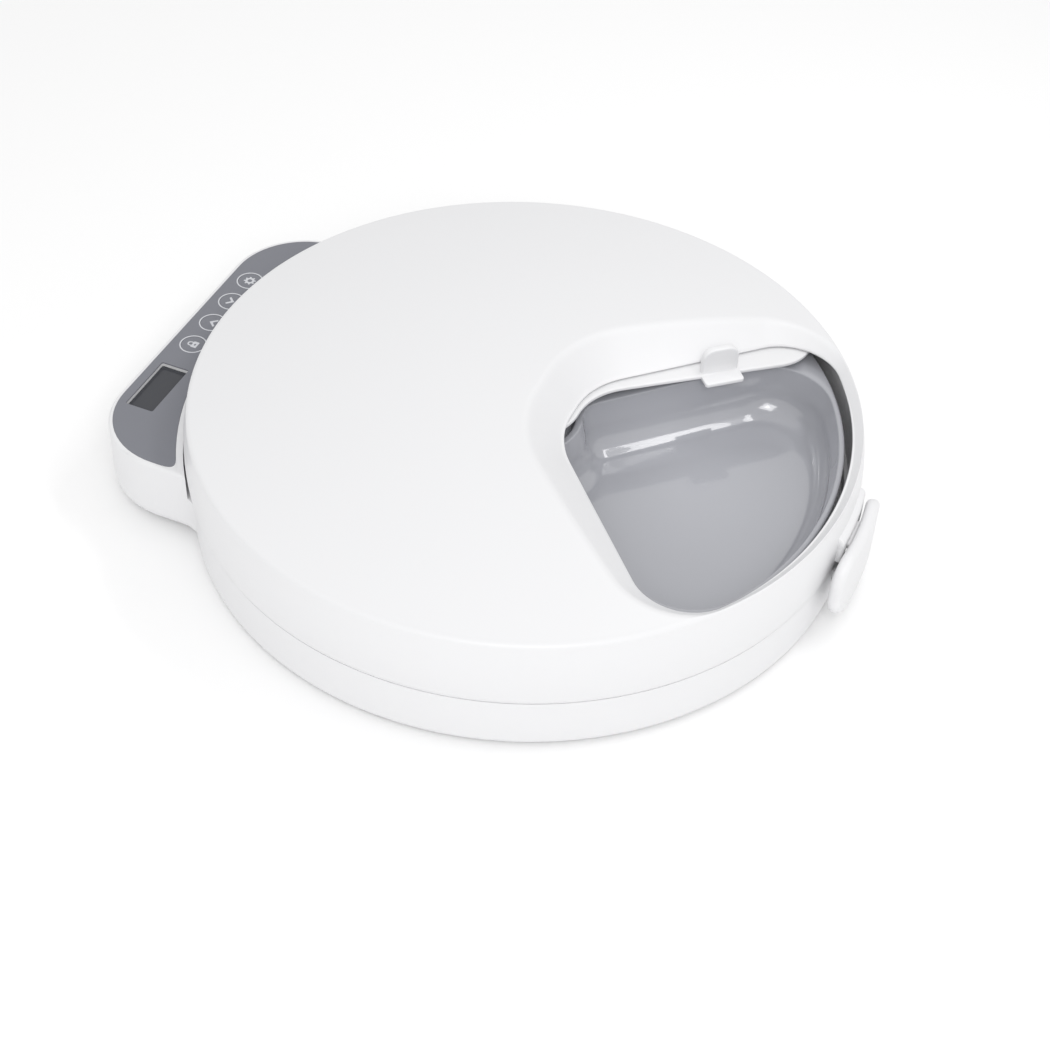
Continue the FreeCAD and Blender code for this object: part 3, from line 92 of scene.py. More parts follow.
def build_moulding_group():
    """Moulded plastic: slow tone drift, faint mottling of the gloss, and a fine grain as a normal."""
    tree, into, out = group_tree(
        "moulded_surface",
        [("Colour", "NodeSocketColor", (0.8, 0.8, 0.8, 1)), ("Tone", "NodeSocketFloat", 0.02),
         ("Roughness", "NodeSocketFloat", 0.3), ("Gloss drift", "NodeSocketFloat", 0.05),
         ("Grain scale", "NodeSocketFloat", 900.0), ("Grain depth", "NodeSocketFloat", 0.05),
         ("Wear", "NodeSocketFloat", 0.0)],
        [("Colour", "NodeSocketColor"), ("Roughness", "NodeSocketFloat"), ("Normal", "NodeSocketVector")])
    place = add(tree, "ShaderNodeTexCoord")
    drift = add(tree, "ShaderNodeTexNoise", Scale=14.0, Detail=3.0, Roughness=0.55)
    tree.links.new(place.outputs["Object"], drift.inputs["Vector"])
    shift = add(tree, "ShaderNodeMath", operation="SUBTRACT")
    shift.inputs[1].default_value = 0.5      # the noise's middle
    tree.links.new(drift.outputs["Fac"], shift.inputs[0])
    tone = add(tree, "ShaderNodeMath", operation="MULTIPLY_ADD")
    tree.links.new(shift.outputs[0], tone.inputs[0])
    tree.links.new(into.outputs["Tone"], tone.inputs[1])
    tone.inputs[2].default_value = 1.0
    tint = add(tree, "ShaderNodeVectorMath", operation="SCALE")
    tree.links.new(into.outputs["Colour"], tint.inputs[0])
    tree.links.new(tone.outputs[0], tint.inputs["Scale"])
    specks = add(tree, "ShaderNodeTexNoise", Scale=160.0, Detail=4.0, Roughness=0.6)
    tree.links.new(place.outputs["Object"], specks.inputs["Vector"])
    scuffs = add(tree, "ShaderNodeMapRange")
    scuffs.inputs["From Min"].default_value = 0.56
    scuffs.inputs["From Max"].default_value = 0.75
    tree.links.new(specks.outputs["Fac"], scuffs.inputs["Value"])
    scuffed = add(tree, "ShaderNodeMath", operation="MULTIPLY")
    tree.links.new(scuffs.outputs[0], scuffed.inputs[0])
    tree.links.new(into.outputs["Wear"], scuffed.inputs[1])
    gloss = add(tree, "ShaderNodeMath", operation="MULTIPLY_ADD")
    tree.links.new(shift.outputs[0], gloss.inputs[0])
    tree.links.new(into.outputs["Gloss drift"], gloss.inputs[1])
    tree.links.new(into.outputs["Roughness"], gloss.inputs[2])
    rough = add(tree, "ShaderNodeMath", operation="ADD", use_clamp=True)
    tree.links.new(gloss.outputs[0], rough.inputs[0])
    tree.links.new(scuffed.outputs[0], rough.inputs[1])
    grain = add(tree, "ShaderNodeTexNoise", Detail=2.0, Roughness=0.5)
    tree.links.new(place.outputs["Object"], grain.inputs["Vector"])
    tree.links.new(into.outputs["Grain scale"], grain.inputs["Scale"])
    bump = add(tree, "ShaderNodeBump", Distance=0.0002)
    tree.links.new(into.outputs["Grain depth"], bump.inputs["Strength"])
    tree.links.new(grain.outputs["Fac"], bump.inputs["Height"])
    tree.links.new(tint.outputs[0], out.inputs["Colour"])
    tree.links.new(rough.outputs[0], out.inputs["Roughness"])
    tree.links.new(bump.outputs[0], out.inputs["Normal"])
    return tree


MOULDING = build_moulding_group()


def plastic(name, colour, roughness=0.3, tone=0.02, gloss_drift=0.05, grain=900.0, depth=0.05, wear=0.0,
            metallic=0.0, coat=0.0, coat_roughness=0.05, specular=0.5, subsurface=0.0):
    mat, tree, shader = new_material(name)
    surface = add(tree, "ShaderNodeGroup")
    surface.node_tree = MOULDING
    values = {"Colour": (*colour, 1), "Tone": tone, "Roughness": roughness, "Gloss drift": gloss_drift,
              "Grain scale": grain, "Grain depth": depth, "Wear": wear}
    for label, value in values.items():
        surface.inputs[label].default_value = value
    tree.links.new(surface.outputs["Colour"], shader.inputs["Base Color"])
    tree.links.new(surface.outputs["Roughness"], shader.inputs["Roughness"])
    tree.links.new(surface.outputs["Normal"], shader.inputs["Normal"])
    shader.inputs["Metallic"].default_value = metallic
    shader.inputs["Coat Weight"].default_value = coat
    shader.inputs["Coat Roughness"].default_value = coat_roughness
    shader.inputs["Specular IOR Level"].default_value = specular
    shader.inputs["Subsurface Weight"].default_value = subsurface
    shader.inputs["Subsurface Radius"].default_value = (0.004, 0.004, 0.004)
    return mat


white = plastic("casing_white_moulding", (0.775, 0.775, 0.785), 0.36, tone=0.012, depth=0.03, wear=0.06,
                specular=0.4)
bowl_grey = plastic("bowl_grey_polished", (0.385, 0.39, 0.42), 0.14, tone=0.03, gloss_drift=0.02, depth=0.0,
                    coat=1.0, coat_roughness=0.015)
film = plastic("panel_film", (0.205, 0.21, 0.235), 0.5, tone=0.04, grain=2600.0, depth=0.12, specular=0.3)
smoked = plastic("smoked_window", (0.05, 0.052, 0.06), 0.12, tone=0.05, depth=0.0, specular=0.4)
glass_dark = plastic("display_glass", (0.03, 0.032, 0.035), 0.12, tone=0.05, depth=0.0)
ink = plastic("printed_ink", (0.62, 0.63, 0.66), 0.5, tone=0.02, grain=2600.0, depth=0.1)
board = plastic("board_mask", (0.015, 0.12, 0.045), 0.3, tone=0.15, grain=500.0, depth=0.1)
black = plastic("black_part", (0.02, 0.02, 0.021), 0.4, tone=0.1)
nylon = plastic("gear_nylon", (0.70, 0.69, 0.64), 0.45, tone=0.04, subsurface=0.1)
inner = plastic("inner_moulding", (0.55, 0.55, 0.56), 0.45, tone=0.03)
rubber = plastic("foot_rubber", (0.16, 0.16, 0.165), 0.75, tone=0.12, grain=700.0, depth=0.3)
ribbon = plastic("ribbon_grey", (0.32, 0.32, 0.34), 0.5, tone=0.08, grain=400.0, depth=0.2)
steel = plastic("plated_steel", (0.55, 0.55, 0.56), 0.27, tone=0.06, gloss_drift=0.15, grain=1400.0, depth=0.08,
                wear=0.15, metallic=1.0)
nickel = plastic("contact_nickel", (0.66, 0.64, 0.6), 0.2, tone=0.06, grain=1400.0, depth=0.08, metallic=1.0)
brass = plastic("gearbox_brass", (0.68, 0.5, 0.22), 0.3, tone=0.08, grain=1400.0, depth=0.08, metallic=1.0)
sleeve = plastic("cell_sleeve", (0.05, 0.055, 0.065), 0.22, tone=0.1, coat=0.3)

FINISHES = {
    "casing_white": white, "tray_grey": bowl_grey, "overlay_grey": film, "lens_dark": smoked,
    "display_dark": glass_dark, "board_green": board, "part_black": black, "gear_nylon": nylon,
    "steel": steel, "gearbox_brass": brass, "contact_nickel": nickel, "inner_plastic": inner,
    "ribbon_grey": ribbon, "foot_rubber": rubber, "cell_sleeve": sleeve}

for row in frame["record"]["subparts"]:
    node = nodes[row["node"]]
    node.data.materials.clear()
    node.data.materials.append(FINISHES[row["material_slot"]])


# ---------------------------------------------------------------- outlines and surfaces
def flat(radius, degrees):
    turn = math.radians(degrees)
    return Vector((radius * math.cos(turn), radius * math.sin(turn)))


def straight(a, b, count):
    """Points from a towards b, without b."""
    return [a.lerp(b, n / count) for n in range(count)]


def swept(centre, radius, a, b, count):
    """Points of the short arc about centre from a towards b, without b."""
    start = math.atan2(a.y - centre.y, a.x - centre.x)
    turn = math.atan2(b.y - centre.y, b.x - centre.x) - start
    turn = (turn + math.pi) % (2 * math.pi) - math.pi
    return [centre + radius * Vector((math.cos(start + turn * n / count), math.sin(start + turn * n / count)))
            for n in range(count)]


def mesh_piece(name, points, faces, body, replaced, finish, angle=35):
    """A piece from its points, in millimetres, and faces."""
    mesh = bpy.data.meshes.new(name)
    mesh.from_pydata([Vector(p) * MM for p in points], [], faces)
    piece = bpy.data.objects.new(name, mesh)
    bpy.context.scene.collection.objects.link(piece)
    return finished(piece, body, replaced, finish, angle)


def finished(piece, body, replaced, finish, angle=35):
    """Merges doubles, turns faces outwards, smooths, and puts the piece on its body."""
    only(piece)
    bpy.ops.object.mode_set(mode="EDIT")
    bpy.ops.mesh.select_all(action="SELECT")
    bpy.ops.mesh.remove_doubles(threshold=MERGE)
    bpy.ops.mesh.normals_make_consistent(inside=False)
    bpy.ops.object.mode_set(mode="OBJECT")
    bpy.ops.object.shade_smooth_by_angle(angle=math.radians(angle))
    piece.data.materials.clear()
    piece.data.materials.append(finish)
    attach(piece, body)
    if replaced:
        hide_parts(*replaced)
    return piece


def deselect_all():
    bpy.ops.object.select_all(action="DESELECT")


def only(piece):
    """Leaves one piece selected, and active."""
    deselect_all()
    piece.select_set(True)
    bpy.context.view_layer.objects.active = piece


def joined(a, b):
    """Faces between two rings, given as the places of their points in the list."""
    size = len(a)
    return [(a[i], a[(i + 1) % size], b[(i + 1) % size], b[i]) for i in range(size)]


def tube_of_rings(rings):
    """Points and faces of a surface through rings of equal length, the last one joined to the first."""
    size = len(rings[0])
    points = [p for ring in rings for p in ring]
    rows = [range(n * size, (n + 1) * size) for n in range(len(rings))]
    faces = []
    for a, b in zip(rows, rows[1:] + rows[:1]):
        faces += joined(a, b)
    return points, faces


# ---------------------------------------------------------------- lid
LID_R = 133.93
LID_BOTTOM_R = 132.8
LID_BOTTOM_Z = 24.9
BELLY_Z = 42.0
CREASE_R = 132.3
CREASE_Z = 52.6
CREASE_ROUND = 2.4
CREASE_LIFT = 2.04
DOME_TOP_Z = 66.98
WALL = 2.4
EDGE_Z = 54.18              # opening's lower edge near the axis
EDGE_R = 24.0
EDGE_FALL = 0.041
OPENING_TIP = 20.2
OPENING_HALF = math.radians(46.45)
OPENING_SIDE = 2.67
OPENING_R = 128.4
OPENING_CORNER = 21.5
OPENING_TIP_CORNER = 35.7
SLOPE_H = 16.0
SLOPE_TIP = 17.6
SLOPE_SIDE = 23.8
SLOPE_RIM = 16.0
SLOPE_ROUND = 14.0
SLOPE_TIP_ROUND = 28.0
SOFT_EDGE = 1.6             # how softly the dome turns into the sloping surround
LEAST_SOFT = 0.001
LIP = 0.7                   # thickness of the surround at the opening
LIP_OUT = 0.25              # middle of the opening's lip, out from its edges
OPENING_STEPS = (24, 32, 50, 26, 40)    # on half of it: tip, tip's corner, side, outer corner, outer arc
FAN_Y = -78.0               # runs across the lid spread from this place in the opening
RUN_STEP = 0.005            # share of the surround's lean by which a run looks for the dome
RUN_LIMIT = 1.3
CREASE_KEEP = 0.5           # a run leaves the surround at least this far inside the crease
TOP_STEPS = (30, 46)        # on the surround and on the dome
UNDER_STEPS = (12, 22)
UNDER_SKIN = WALL + 0.2
SIDE_STEPS = 16
SIDE_END = 0.5              # where the side starts to round into its lower edge
LOWER_EDGE = ((0.15, 0.15), (0.5, 0.0))     # in and up
INNER_STEPS = 8
STEM_R = 10.0
STEM_H = 8.0
STEM_Z = 57.9               # its middle, before its top is fitted to the lid
STEM_BURIED = 0.8           # its top inside the lid's wall
PEG_R = 5.0                 # the shutter turns on it
PEG_H = 4.4
LEVEL = 0.9                 # least upright share of the normal of a face that lies level
ALONG = 0.99                # least share of its length that an edge runs along an axis


def opening_outline(share):
    """Plan of the opening at its lower edge, share 0, or higher up its sloping surround."""
    along = Vector((math.sin(OPENING_HALF), -math.cos(OPENING_HALF)))
    inward = Vector((-math.cos(OPENING_HALF), -math.sin(OPENING_HALF)))
    tip_y = -OPENING_TIP + share * SLOPE_TIP
    side = OPENING_SIDE - share * SLOPE_SIDE
    outer = OPENING_R + share * SLOPE_RIM
    corner = OPENING_CORNER + share * SLOPE_ROUND
    tip_corner = OPENING_TIP_CORNER + share * SLOPE_TIP_ROUND
    meet = along * ((tip_y - inward.y * side) / along.y) + inward * side
    cut_back = tip_corner * math.tan((math.pi / 2 - OPENING_HALF) / 2)
    tip_end = meet - Vector((cut_back, 0))
    side_start = meet + along * cut_back
    reach = outer - corner
    centre = along * math.sqrt(reach ** 2 - (side + corner) ** 2) + inward * (side + corner)
    side_end = centre - inward * corner
    ring = centre * (outer / reach)
    foot = Vector((0, -outer))
    tip, tip_bend, straight_side, bend, arc = OPENING_STEPS
    half = straight(Vector((0, tip_y)), tip_end, tip)
    half += swept(tip_end - Vector((0, tip_corner)), tip_corner, tip_end, side_start, tip_bend)
    half += straight(side_start, side_end, straight_side)
    half += swept(centre, corner, side_end, ring, bend)
    half += swept(AXIS, outer, ring, foot, arc)
    other = [Vector((-p.x, p.y)) for p in reversed(half[1:])]
    return half + [foot] + other


def softened(a, b, reach):
    """The lower of two heights, with a smooth change from one to the other."""
    gap = max(reach - abs(a - b), 0.0) / reach
    return min(a, b) - gap * gap * reach / 4


def dome_height(r):
    edge_r = CREASE_R - CREASE_ROUND
    edge_z = CREASE_Z + CREASE_LIFT
    drop = DOME_TOP_Z - edge_z
    bend = (edge_r ** 2 + drop ** 2) / (2 * drop)
    if r <= edge_r:
        return DOME_TOP_Z - bend + math.sqrt(bend ** 2 - r ** 2)
    part = min((r - edge_r) / CREASE_ROUND, 1.0)
    return CREASE_Z + CREASE_LIFT * math.sqrt(1 - part ** 2)


def side_radius(z):
    """Lid's bulging side, through its lower edge, its belly and the crease."""
    a, b, c = LID_BOTTOM_Z, BELLY_Z, CREASE_Z
    return (LID_BOTTOM_R * (z - b) * (z - c) / ((a - b) * (a - c)) + LID_R * (z - a) * (z - c) / ((b - a) * (b - c))
            + CREASE_R * (z - a) * (z - b) / ((c - a) * (c - b)))


def edge_height(y):
    """Lower edge of the opening, which falls towards the front."""
    return EDGE_Z + EDGE_FALL * (y + EDGE_R)


def room_height(r):
    """Underside of the surround, which clears the shutter."""
    return EDGE_Z - EDGE_FALL * (max(r, EDGE_R) - EDGE_R)


def lid_column(low, high, limit, skin, near, far):
    """One run across the lid's top, from the opening's edge out to its side. Near and far are the numbers
    of steps on the surround and on the dome."""
    lean = high - low

    def surface(p, share):
        r = p.length
        soft = SOFT_EDGE * min(1.0, max((CREASE_R - r) / CREASE_ROUND, LEAST_SOFT))
        slope = edge_height(p.y) + SLOPE_H * share
        if skin:
            return max(min(dome_height(r) - skin, slope - skin), room_height(r))
        return max(softened(dome_height(r), slope, soft), room_height(r) + LIP)

    share = 0.0
    while share < RUN_LIMIT:
        p = low + lean * share
        above = edge_height(p.y) + SLOPE_H * share > dome_height(p.length) + SOFT_EDGE
        if p.length > limit - CREASE_KEEP or above:
            break
        share += RUN_STEP
    middle = Vector((0, FAN_Y))
    towards = (high - middle).normalized()
    dot = middle.dot(towards)
    end = middle + towards * (-dot + math.sqrt(dot ** 2 - middle.length_squared + limit ** 2))
    column = []
    for n in range(near):
        here = share * n / near
        p = low + lean * here
        column.append((p.x, p.y, surface(p, here)))
    start = low + lean * share
    for n in range(far + 1):
        part = 1 - (1 - n / far) ** 2
        p = start.lerp(end, part)
        column.append((p.x, p.y, surface(p, share + (p - start).length / lean.length)))
    return column


def build_lid():
    lows, highs = opening_outline(0), opening_outline(1)
    columns = []
    for low, high in zip(lows, highs):
        top = lid_column(low, high, CREASE_R, 0.0, *TOP_STEPS)
        under = lid_column(low, high, CREASE_R - WALL, UNDER_SKIN, *UNDER_STEPS)
        edge_out = Vector(top[-1][:2]).normalized()
        side = []
        for n in range(1, SIDE_STEPS + 1):
            z = CREASE_Z + (LID_BOTTOM_Z + SIDE_END - CREASE_Z) * n / SIDE_STEPS
            side.append((*(edge_out * side_radius(z)), z))
        for inset, z in LOWER_EDGE:
            side.append((*(edge_out * (LID_BOTTOM_R - inset)), LID_BOTTOM_Z + z))
        edge_in = Vector(under[-1][:2]).normalized()
        for n in range(INNER_STEPS + 1):
            z = LID_BOTTOM_Z + (CREASE_Z - WALL - LID_BOTTOM_Z) * n / INNER_STEPS
            side.append((*(edge_in * (side_radius(z) - WALL)), z))
        lean = (high - low).normalized()
        lip = (low.x - lean.x * LIP_OUT, low.y - lean.y * LIP_OUT, (under[0][2] + top[0][2]) / 2)
        columns.append(top + side + under[::-1] + [lip])
    points, faces = tube_of_rings([list(ring) for ring in zip(*columns)])
    mesh_piece("lid_moulding", points, faces, "lid", ["lid_shell"], white, angle=40)


def under_lid(x, y):
    """Height of the lid's inner face above a place near the axis."""
    slope = edge_height(y) + SLOPE_H * (y + OPENING_TIP) / SLOPE_TIP
    return min(dome_height(math.hypot(x, y)), slope) - WALL


def build_stem():
    """Post under the dome that carries the shutter."""
    post = disc("shutter_stem", STEM_R, STEM_H, (0, 0, STEM_Z))
    edit_faces(post, faces_down)
    bpy.ops.mesh.inset(thickness=(STEM_R - PEG_R) * MM)
    bpy.ops.mesh.extrude_region_move(TRANSFORM_OT_translate={"value": (0, 0, -PEG_H * MM)})
    bpy.ops.object.mode_set(mode="OBJECT")
    for v in post.data.vertices:
        if v.co.z > STEM_Z * MM:
            v.co.z = (under_lid(v.co.x / MM, v.co.y / MM) + STEM_BURIED) * MM
    bevelled(post, width=0.4, segments=2)
    finished(post, "lid", ["lid_shell"], white)


def in_place(piece):
    """Puts a new piece's place and size into its points."""
    only(piece)
    bpy.ops.object.transform_apply(location=True, rotation=True, scale=True)


def bevelled(piece, width, segments, degrees=40):
    only(piece)
    bevel = piece.modifiers.new("edges", "BEVEL")
    bevel.width = width * MM
    bevel.segments = segments
    bevel.limit_method = "ANGLE"
    bevel.angle_limit = math.radians(degrees)
    bpy.ops.object.modifier_apply(modifier=bevel.name)


def block(name, low, high):
    """A box between two corners, to be shaped further."""
    deselect_all()
    size = [(b - a) * MM for a, b in zip(low, high)]
    place = [(a + b) / 2 * MM for a, b in zip(low, high)]
    bpy.ops.mesh.primitive_cube_add(size=1, location=place, scale=size)
    piece = bpy.context.object
    piece.name = name
    in_place(piece)
    return piece


def disc(name, radius, height, middle, around=64):
    """An upright cylinder about its middle, to be shaped further."""
    deselect_all()
    bpy.ops.mesh.primitive_cylinder_add(vertices=around, radius=radius * MM, depth=height * MM,
                                        location=[v * MM for v in middle])
    piece = bpy.context.object
    piece.name = name
    in_place(piece)
    return piece


def faces_down(face):
    return face.normal.z < -LEVEL


def edit_faces(piece, wanted):
    """Leaves a piece open for editing, with only the wanted faces selected."""
    only(piece)
    bpy.ops.object.mode_set(mode="EDIT")
    bpy.ops.mesh.select_mode(type="FACE")
    bpy.ops.mesh.select_all(action="DESELECT")
    bpy.ops.object.mode_set(mode="OBJECT")
    for face in piece.data.polygons:
        face.select = wanted(face)
    bpy.ops.object.mode_set(mode="EDIT")


def round_corners(piece, axis, width, segments, keep=None):
    """Rounds the edges of a block that run along an axis, or those of them whose middle is to be kept."""
    only(piece)
    bpy.ops.object.mode_set(mode="EDIT")
    bpy.ops.mesh.select_mode(type="EDGE")
    bpy.ops.mesh.select_all(action="DESELECT")
    bpy.ops.object.mode_set(mode="OBJECT")
    for edge in piece.data.edges:
        a, b = (piece.data.vertices[i].co for i in edge.vertices)
        run = (b - a).normalized()
        edge.select = abs(run[axis]) > ALONG and (keep is None or keep((a + b) / 2 / MM))
    bpy.ops.object.mode_set(mode="EDIT")
    bpy.ops.mesh.bevel(offset=width * MM, segments=segments, affect="EDGES")
    bpy.ops.object.mode_set(mode="OBJECT")


# ---------------------------------------------------------------- bowl tray
TRAY_R = 126.0
TRAY_TOP = 45.0
BOWL_OUTER_R = 123.6
BOWL_INNER_R = 22.8
BOWL_DEPTH = 21.6
BOWL_ROUND = 12.0
BOWL_DRAFT = 2.0
BOWL_LIP = 0.9
DIVIDER_HALF = 3.0
BOWL_CORNER = 24.0
BOWL_TIP_CORNER = 10.0
SIDE_SHRINK = 0.9           # how far the sides, the inner arc and the corners go with a millimetre of inset
INNER_SHRINK = 0.75
CORNER_SHRINK = 0.8
TIP_CORNER_SHRINK = 0.4
BOWL_POINTS = (8, 12, 24, 18, 22)       # on half of it: inner arc, its corner, side, outer corner, outer arc
LIP_STEPS = 4
WALL_STEPS = 4
ROUND_STEPS = 14
FLOOR_RINGS = (0.75, 0.5, 0.25, 0.08)   # shares of the floor's edge
TRAY_SKIN = 1.4
TRAY_RIM = ((TRAY_R - 0.8, 0.0), (TRAY_R - 0.5, 0.08), (TRAY_R - 0.2, 0.3), (TRAY_R, 0.8), (TRAY_R, 5.0))
TRAY_HUB = ((20.4, 0.0), (20.1, 0.1), (19.9, 0.4), (18.9, 3.4), (18.5, 3.9), (17.9, 4.0), (9.0, 4.0), (2.0, 4.0))
RIM_POINTS = 256
HUB_POINTS = 96


def bowl_outline(inset, quarter):
    """Plan of one bowl, moved in by an inset, turned to its quarter."""
    inner = BOWL_INNER_R + inset * INNER_SHRINK
    outer = BOWL_OUTER_R - inset
    side = DIVIDER_HALF + inset * SIDE_SHRINK
    corner = BOWL_CORNER - inset * CORNER_SHRINK
    close = BOWL_TIP_CORNER - inset * TIP_CORNER_SHRINK
    reach = outer - corner
    big = Vector((math.sqrt(reach ** 2 - (side + corner) ** 2), side + corner))
    big_ring = big * (outer / reach)
    small = Vector((math.sqrt((inner + close) ** 2 - (side + close) ** 2), side + close))
    small_ring = small * (inner / (inner + close))
    diagonal = Vector((math.sqrt(0.5), math.sqrt(0.5)))
    inner_arc, tip_bend, straight_side, bend, outer_arc = BOWL_POINTS
    half = swept(AXIS, inner, diagonal * inner, small_ring, inner_arc)
    half += swept(small, close, small_ring, Vector((small.x, side)), tip_bend)
    half += straight(Vector((small.x, side)), Vector((big.x, side)), straight_side)
    half += swept(big, corner, Vector((big.x, side)), big_ring, bend)
    half += swept(AXIS, outer, big_ring, diagonal * outer, outer_arc)
    other = [Vector((p.y, p.x)) for p in reversed(half[1:])]
    turn = Matrix.Rotation(math.radians(45 + 90 * quarter), 2)
    return [turn @ p for p in half + [diagonal * outer] + other]


def bowl_steps():
    """Inset and depth from the lip down the wall and round into the floor."""
    steps = []
    for n in range(LIP_STEPS + 1):
        turn = math.radians(90 * n / LIP_STEPS)
        steps.append((-BOWL_LIP * (1 - math.sin(turn)), BOWL_LIP * (1 - math.cos(turn))))
    wall = BOWL_DEPTH - BOWL_ROUND
    for n in range(1, WALL_STEPS + 1):
        steps.append((BOWL_DRAFT * n / WALL_STEPS, BOWL_LIP + (wall - BOWL_LIP) * n / WALL_STEPS))
    for n in range(1, ROUND_STEPS + 1):
        turn = math.radians(90 * n / ROUND_STEPS)
        steps.append((BOWL_DRAFT + BOWL_ROUND * (1 - math.cos(turn)), wall + BOWL_ROUND * math.sin(turn)))
    return steps


def build_tray():
    """Bowls, outer rim and hub as one skin, closed between them by a flat top, then thickened."""
    points, faces, loops = [], [], []

    def loop(ring):
        start = len(points)
        points.extend(ring)
        return list(range(start, len(points)))

    def walled(rows):
        """Joins rows of points in turn. The first is where the flat top will meet them; the last is given."""
        rings = [loop(row) for row in rows]
        loops.append(rings[0])
        for a, b in zip(rings, rings[1:]):
            faces.extend(joined(a, b))
        return rings[-1]

    for quarter in range(4):
        last = walled([(p.x, p.y, TRAY_TOP - depth) for p in bowl_outline(inset, quarter)]
                      for inset, depth in bowl_steps())
        middle = sum((Vector(points[i]) for i in last), Vector()) / len(last)
        before = last
        for part in FLOOR_RINGS:
            here = loop([tuple(middle.lerp(Vector(points[i]), part)) for i in last])
            faces.extend(joined(before, here))
            before = here
        faces.append(before)
    for profile, count in ((TRAY_RIM, RIM_POINTS), (TRAY_HUB, HUB_POINTS)):
        last = walled([(*flat(r, 360 * n / count), TRAY_TOP - depth) for n in range(count)]
                      for r, depth in profile)
    faces.append(last)

    mesh = bpy.data.meshes.new("bowl_tray")
    edges = [(a[i], a[(i + 1) % len(a)]) for a in loops for i in range(len(a))]
    mesh.from_pydata([Vector(p) * MM for p in points], edges, faces)
    tray = bpy.data.objects.new("bowl_tray", mesh)
    bpy.context.scene.collection.objects.link(tray)
    only(tray)
    bpy.ops.object.mode_set(mode="EDIT")
    bpy.ops.mesh.select_mode(type="EDGE")
    bpy.ops.mesh.select_all(action="DESELECT")
    bpy.ops.object.mode_set(mode="OBJECT")
    open_edges = {frozenset(e) for e in edges}
    for edge in mesh.edges:
        edge.select = frozenset(edge.vertices) in open_edges
    bpy.ops.object.mode_set(mode="EDIT")
    bpy.ops.mesh.fill(use_beauty=True)
    bpy.ops.mesh.select_all(action="SELECT")
    bpy.ops.mesh.remove_doubles(threshold=MERGE)
    bpy.ops.mesh.normals_make_consistent(inside=False)
    bpy.ops.object.mode_set(mode="OBJECT")
    up = sum(f.normal.z * f.area for f in mesh.polygons)
    if up < 0:
        bpy.ops.object.mode_set(mode="EDIT")
        bpy.ops.mesh.flip_normals()
        bpy.ops.object.mode_set(mode="OBJECT")
    skin = tray.modifiers.new("skin", "SOLIDIFY")
    skin.thickness = TRAY_SKIN * MM
    skin.offset = -1
    bpy.ops.object.modifier_apply(modifier=skin.name)
    bpy.ops.object.shade_smooth_by_angle(angle=math.radians(38))
    mesh.materials.clear()
    mesh.materials.append(bowl_grey)
    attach(tray, "tray")
    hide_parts("feed_tray")


# ---------------------------------------------------------------- shutter
SHUTTER_R = 129.6
SHUTTER_T = 1.8
SHUTTER_SPAN = 88.0
SHUTTER_LEAD = -49.0
SHUTTER_FRONT = 3.4
SHUTTER_CORNER = 20.0
SHUTTER_EYE_R = 22.0
SHUTTER_HOLLOW = 29.0
SHUTTER_BORE_R = 5.05
SHUTTER_DROP = 0.6          # below the opening's edge
SHUTTER_STEPS = (18, 16, 18, 64, 16, 30, 30)    # hollow, front, corner, outer arc, back, and twice half the eye
EYE_BACK = 120              # degrees round the eye from the back to the middle of its arc
SHUTTER_EDGE = ((0.3, 0.08), (0.08, 0.3), (0, 0.6), (0, 1.2), (0.08, 1.5), (0.3, 1.72))     # in and down
SHUTTER_FLAT = 0.6          # in from its edge, where the plate is flat
PLATE_STEPS = 12
HUB_R = 15.0
HUB_H = 2.4
HUB_Z = 50.85
TAB_R = 81.0
TAB_HALF = 7.75
TAB_H = 11.5
TAB_SUNK = 1.0
TAB_T = 3.0
TAB_STEP = 1.0              # tab's front, behind the shutter's
BAR_HALF = 8.25
BAR_AHEAD = 5.5
BAR_BACK = 2.0
BAR_RAISED = 0.05


def shutter_outline():
    """Plan of the shutter: a sector running by a hollow curve into an eye round the axis."""
    reach = SHUTTER_R - SHUTTER_CORNER
    centre = Vector((0, SHUTTER_CORNER - SHUTTER_FRONT))
    centre.x = math.sqrt(reach ** 2 - centre.y ** 2)
    ring = centre * (SHUTTER_R / reach)
    hollow = Vector((0, -SHUTTER_HOLLOW - SHUTTER_FRONT))
    hollow.x = math.sqrt((SHUTTER_EYE_R + SHUTTER_HOLLOW) ** 2 - hollow.y ** 2)
    eye_end = hollow * (SHUTTER_EYE_R / (SHUTTER_EYE_R + SHUTTER_HOLLOW))
    front_start = Vector((hollow.x, -SHUTTER_FRONT))
    front_end = Vector((centre.x, -SHUTTER_FRONT))
    far = flat(SHUTTER_R, SHUTTER_SPAN)
    eye = flat(SHUTTER_EYE_R, SHUTTER_SPAN)
    back = flat(SHUTTER_EYE_R, SHUTTER_SPAN + EYE_BACK)
    hollow_steps, front, bend, outer, side, back_half, front_half = SHUTTER_STEPS
    points = swept(hollow, SHUTTER_HOLLOW, eye_end, front_start, hollow_steps)
    points += straight(front_start, front_end, front)
    points += swept(centre, SHUTTER_CORNER, front_end, ring, bend)
    points += swept(AXIS, SHUTTER_R, ring, far, outer)
    points += straight(far, eye, side)
    points += swept(AXIS, SHUTTER_EYE_R, eye, back, back_half)
    points += swept(AXIS, SHUTTER_EYE_R, back, eye_end, front_half)
    turn = Matrix.Rotation(math.radians(SHUTTER_LEAD), 2)
    return [turn @ p for p in points]


def shutter_top(r):
    return EDGE_Z - SHUTTER_DROP - EDGE_FALL * (max(r, EDGE_R) - EDGE_R)


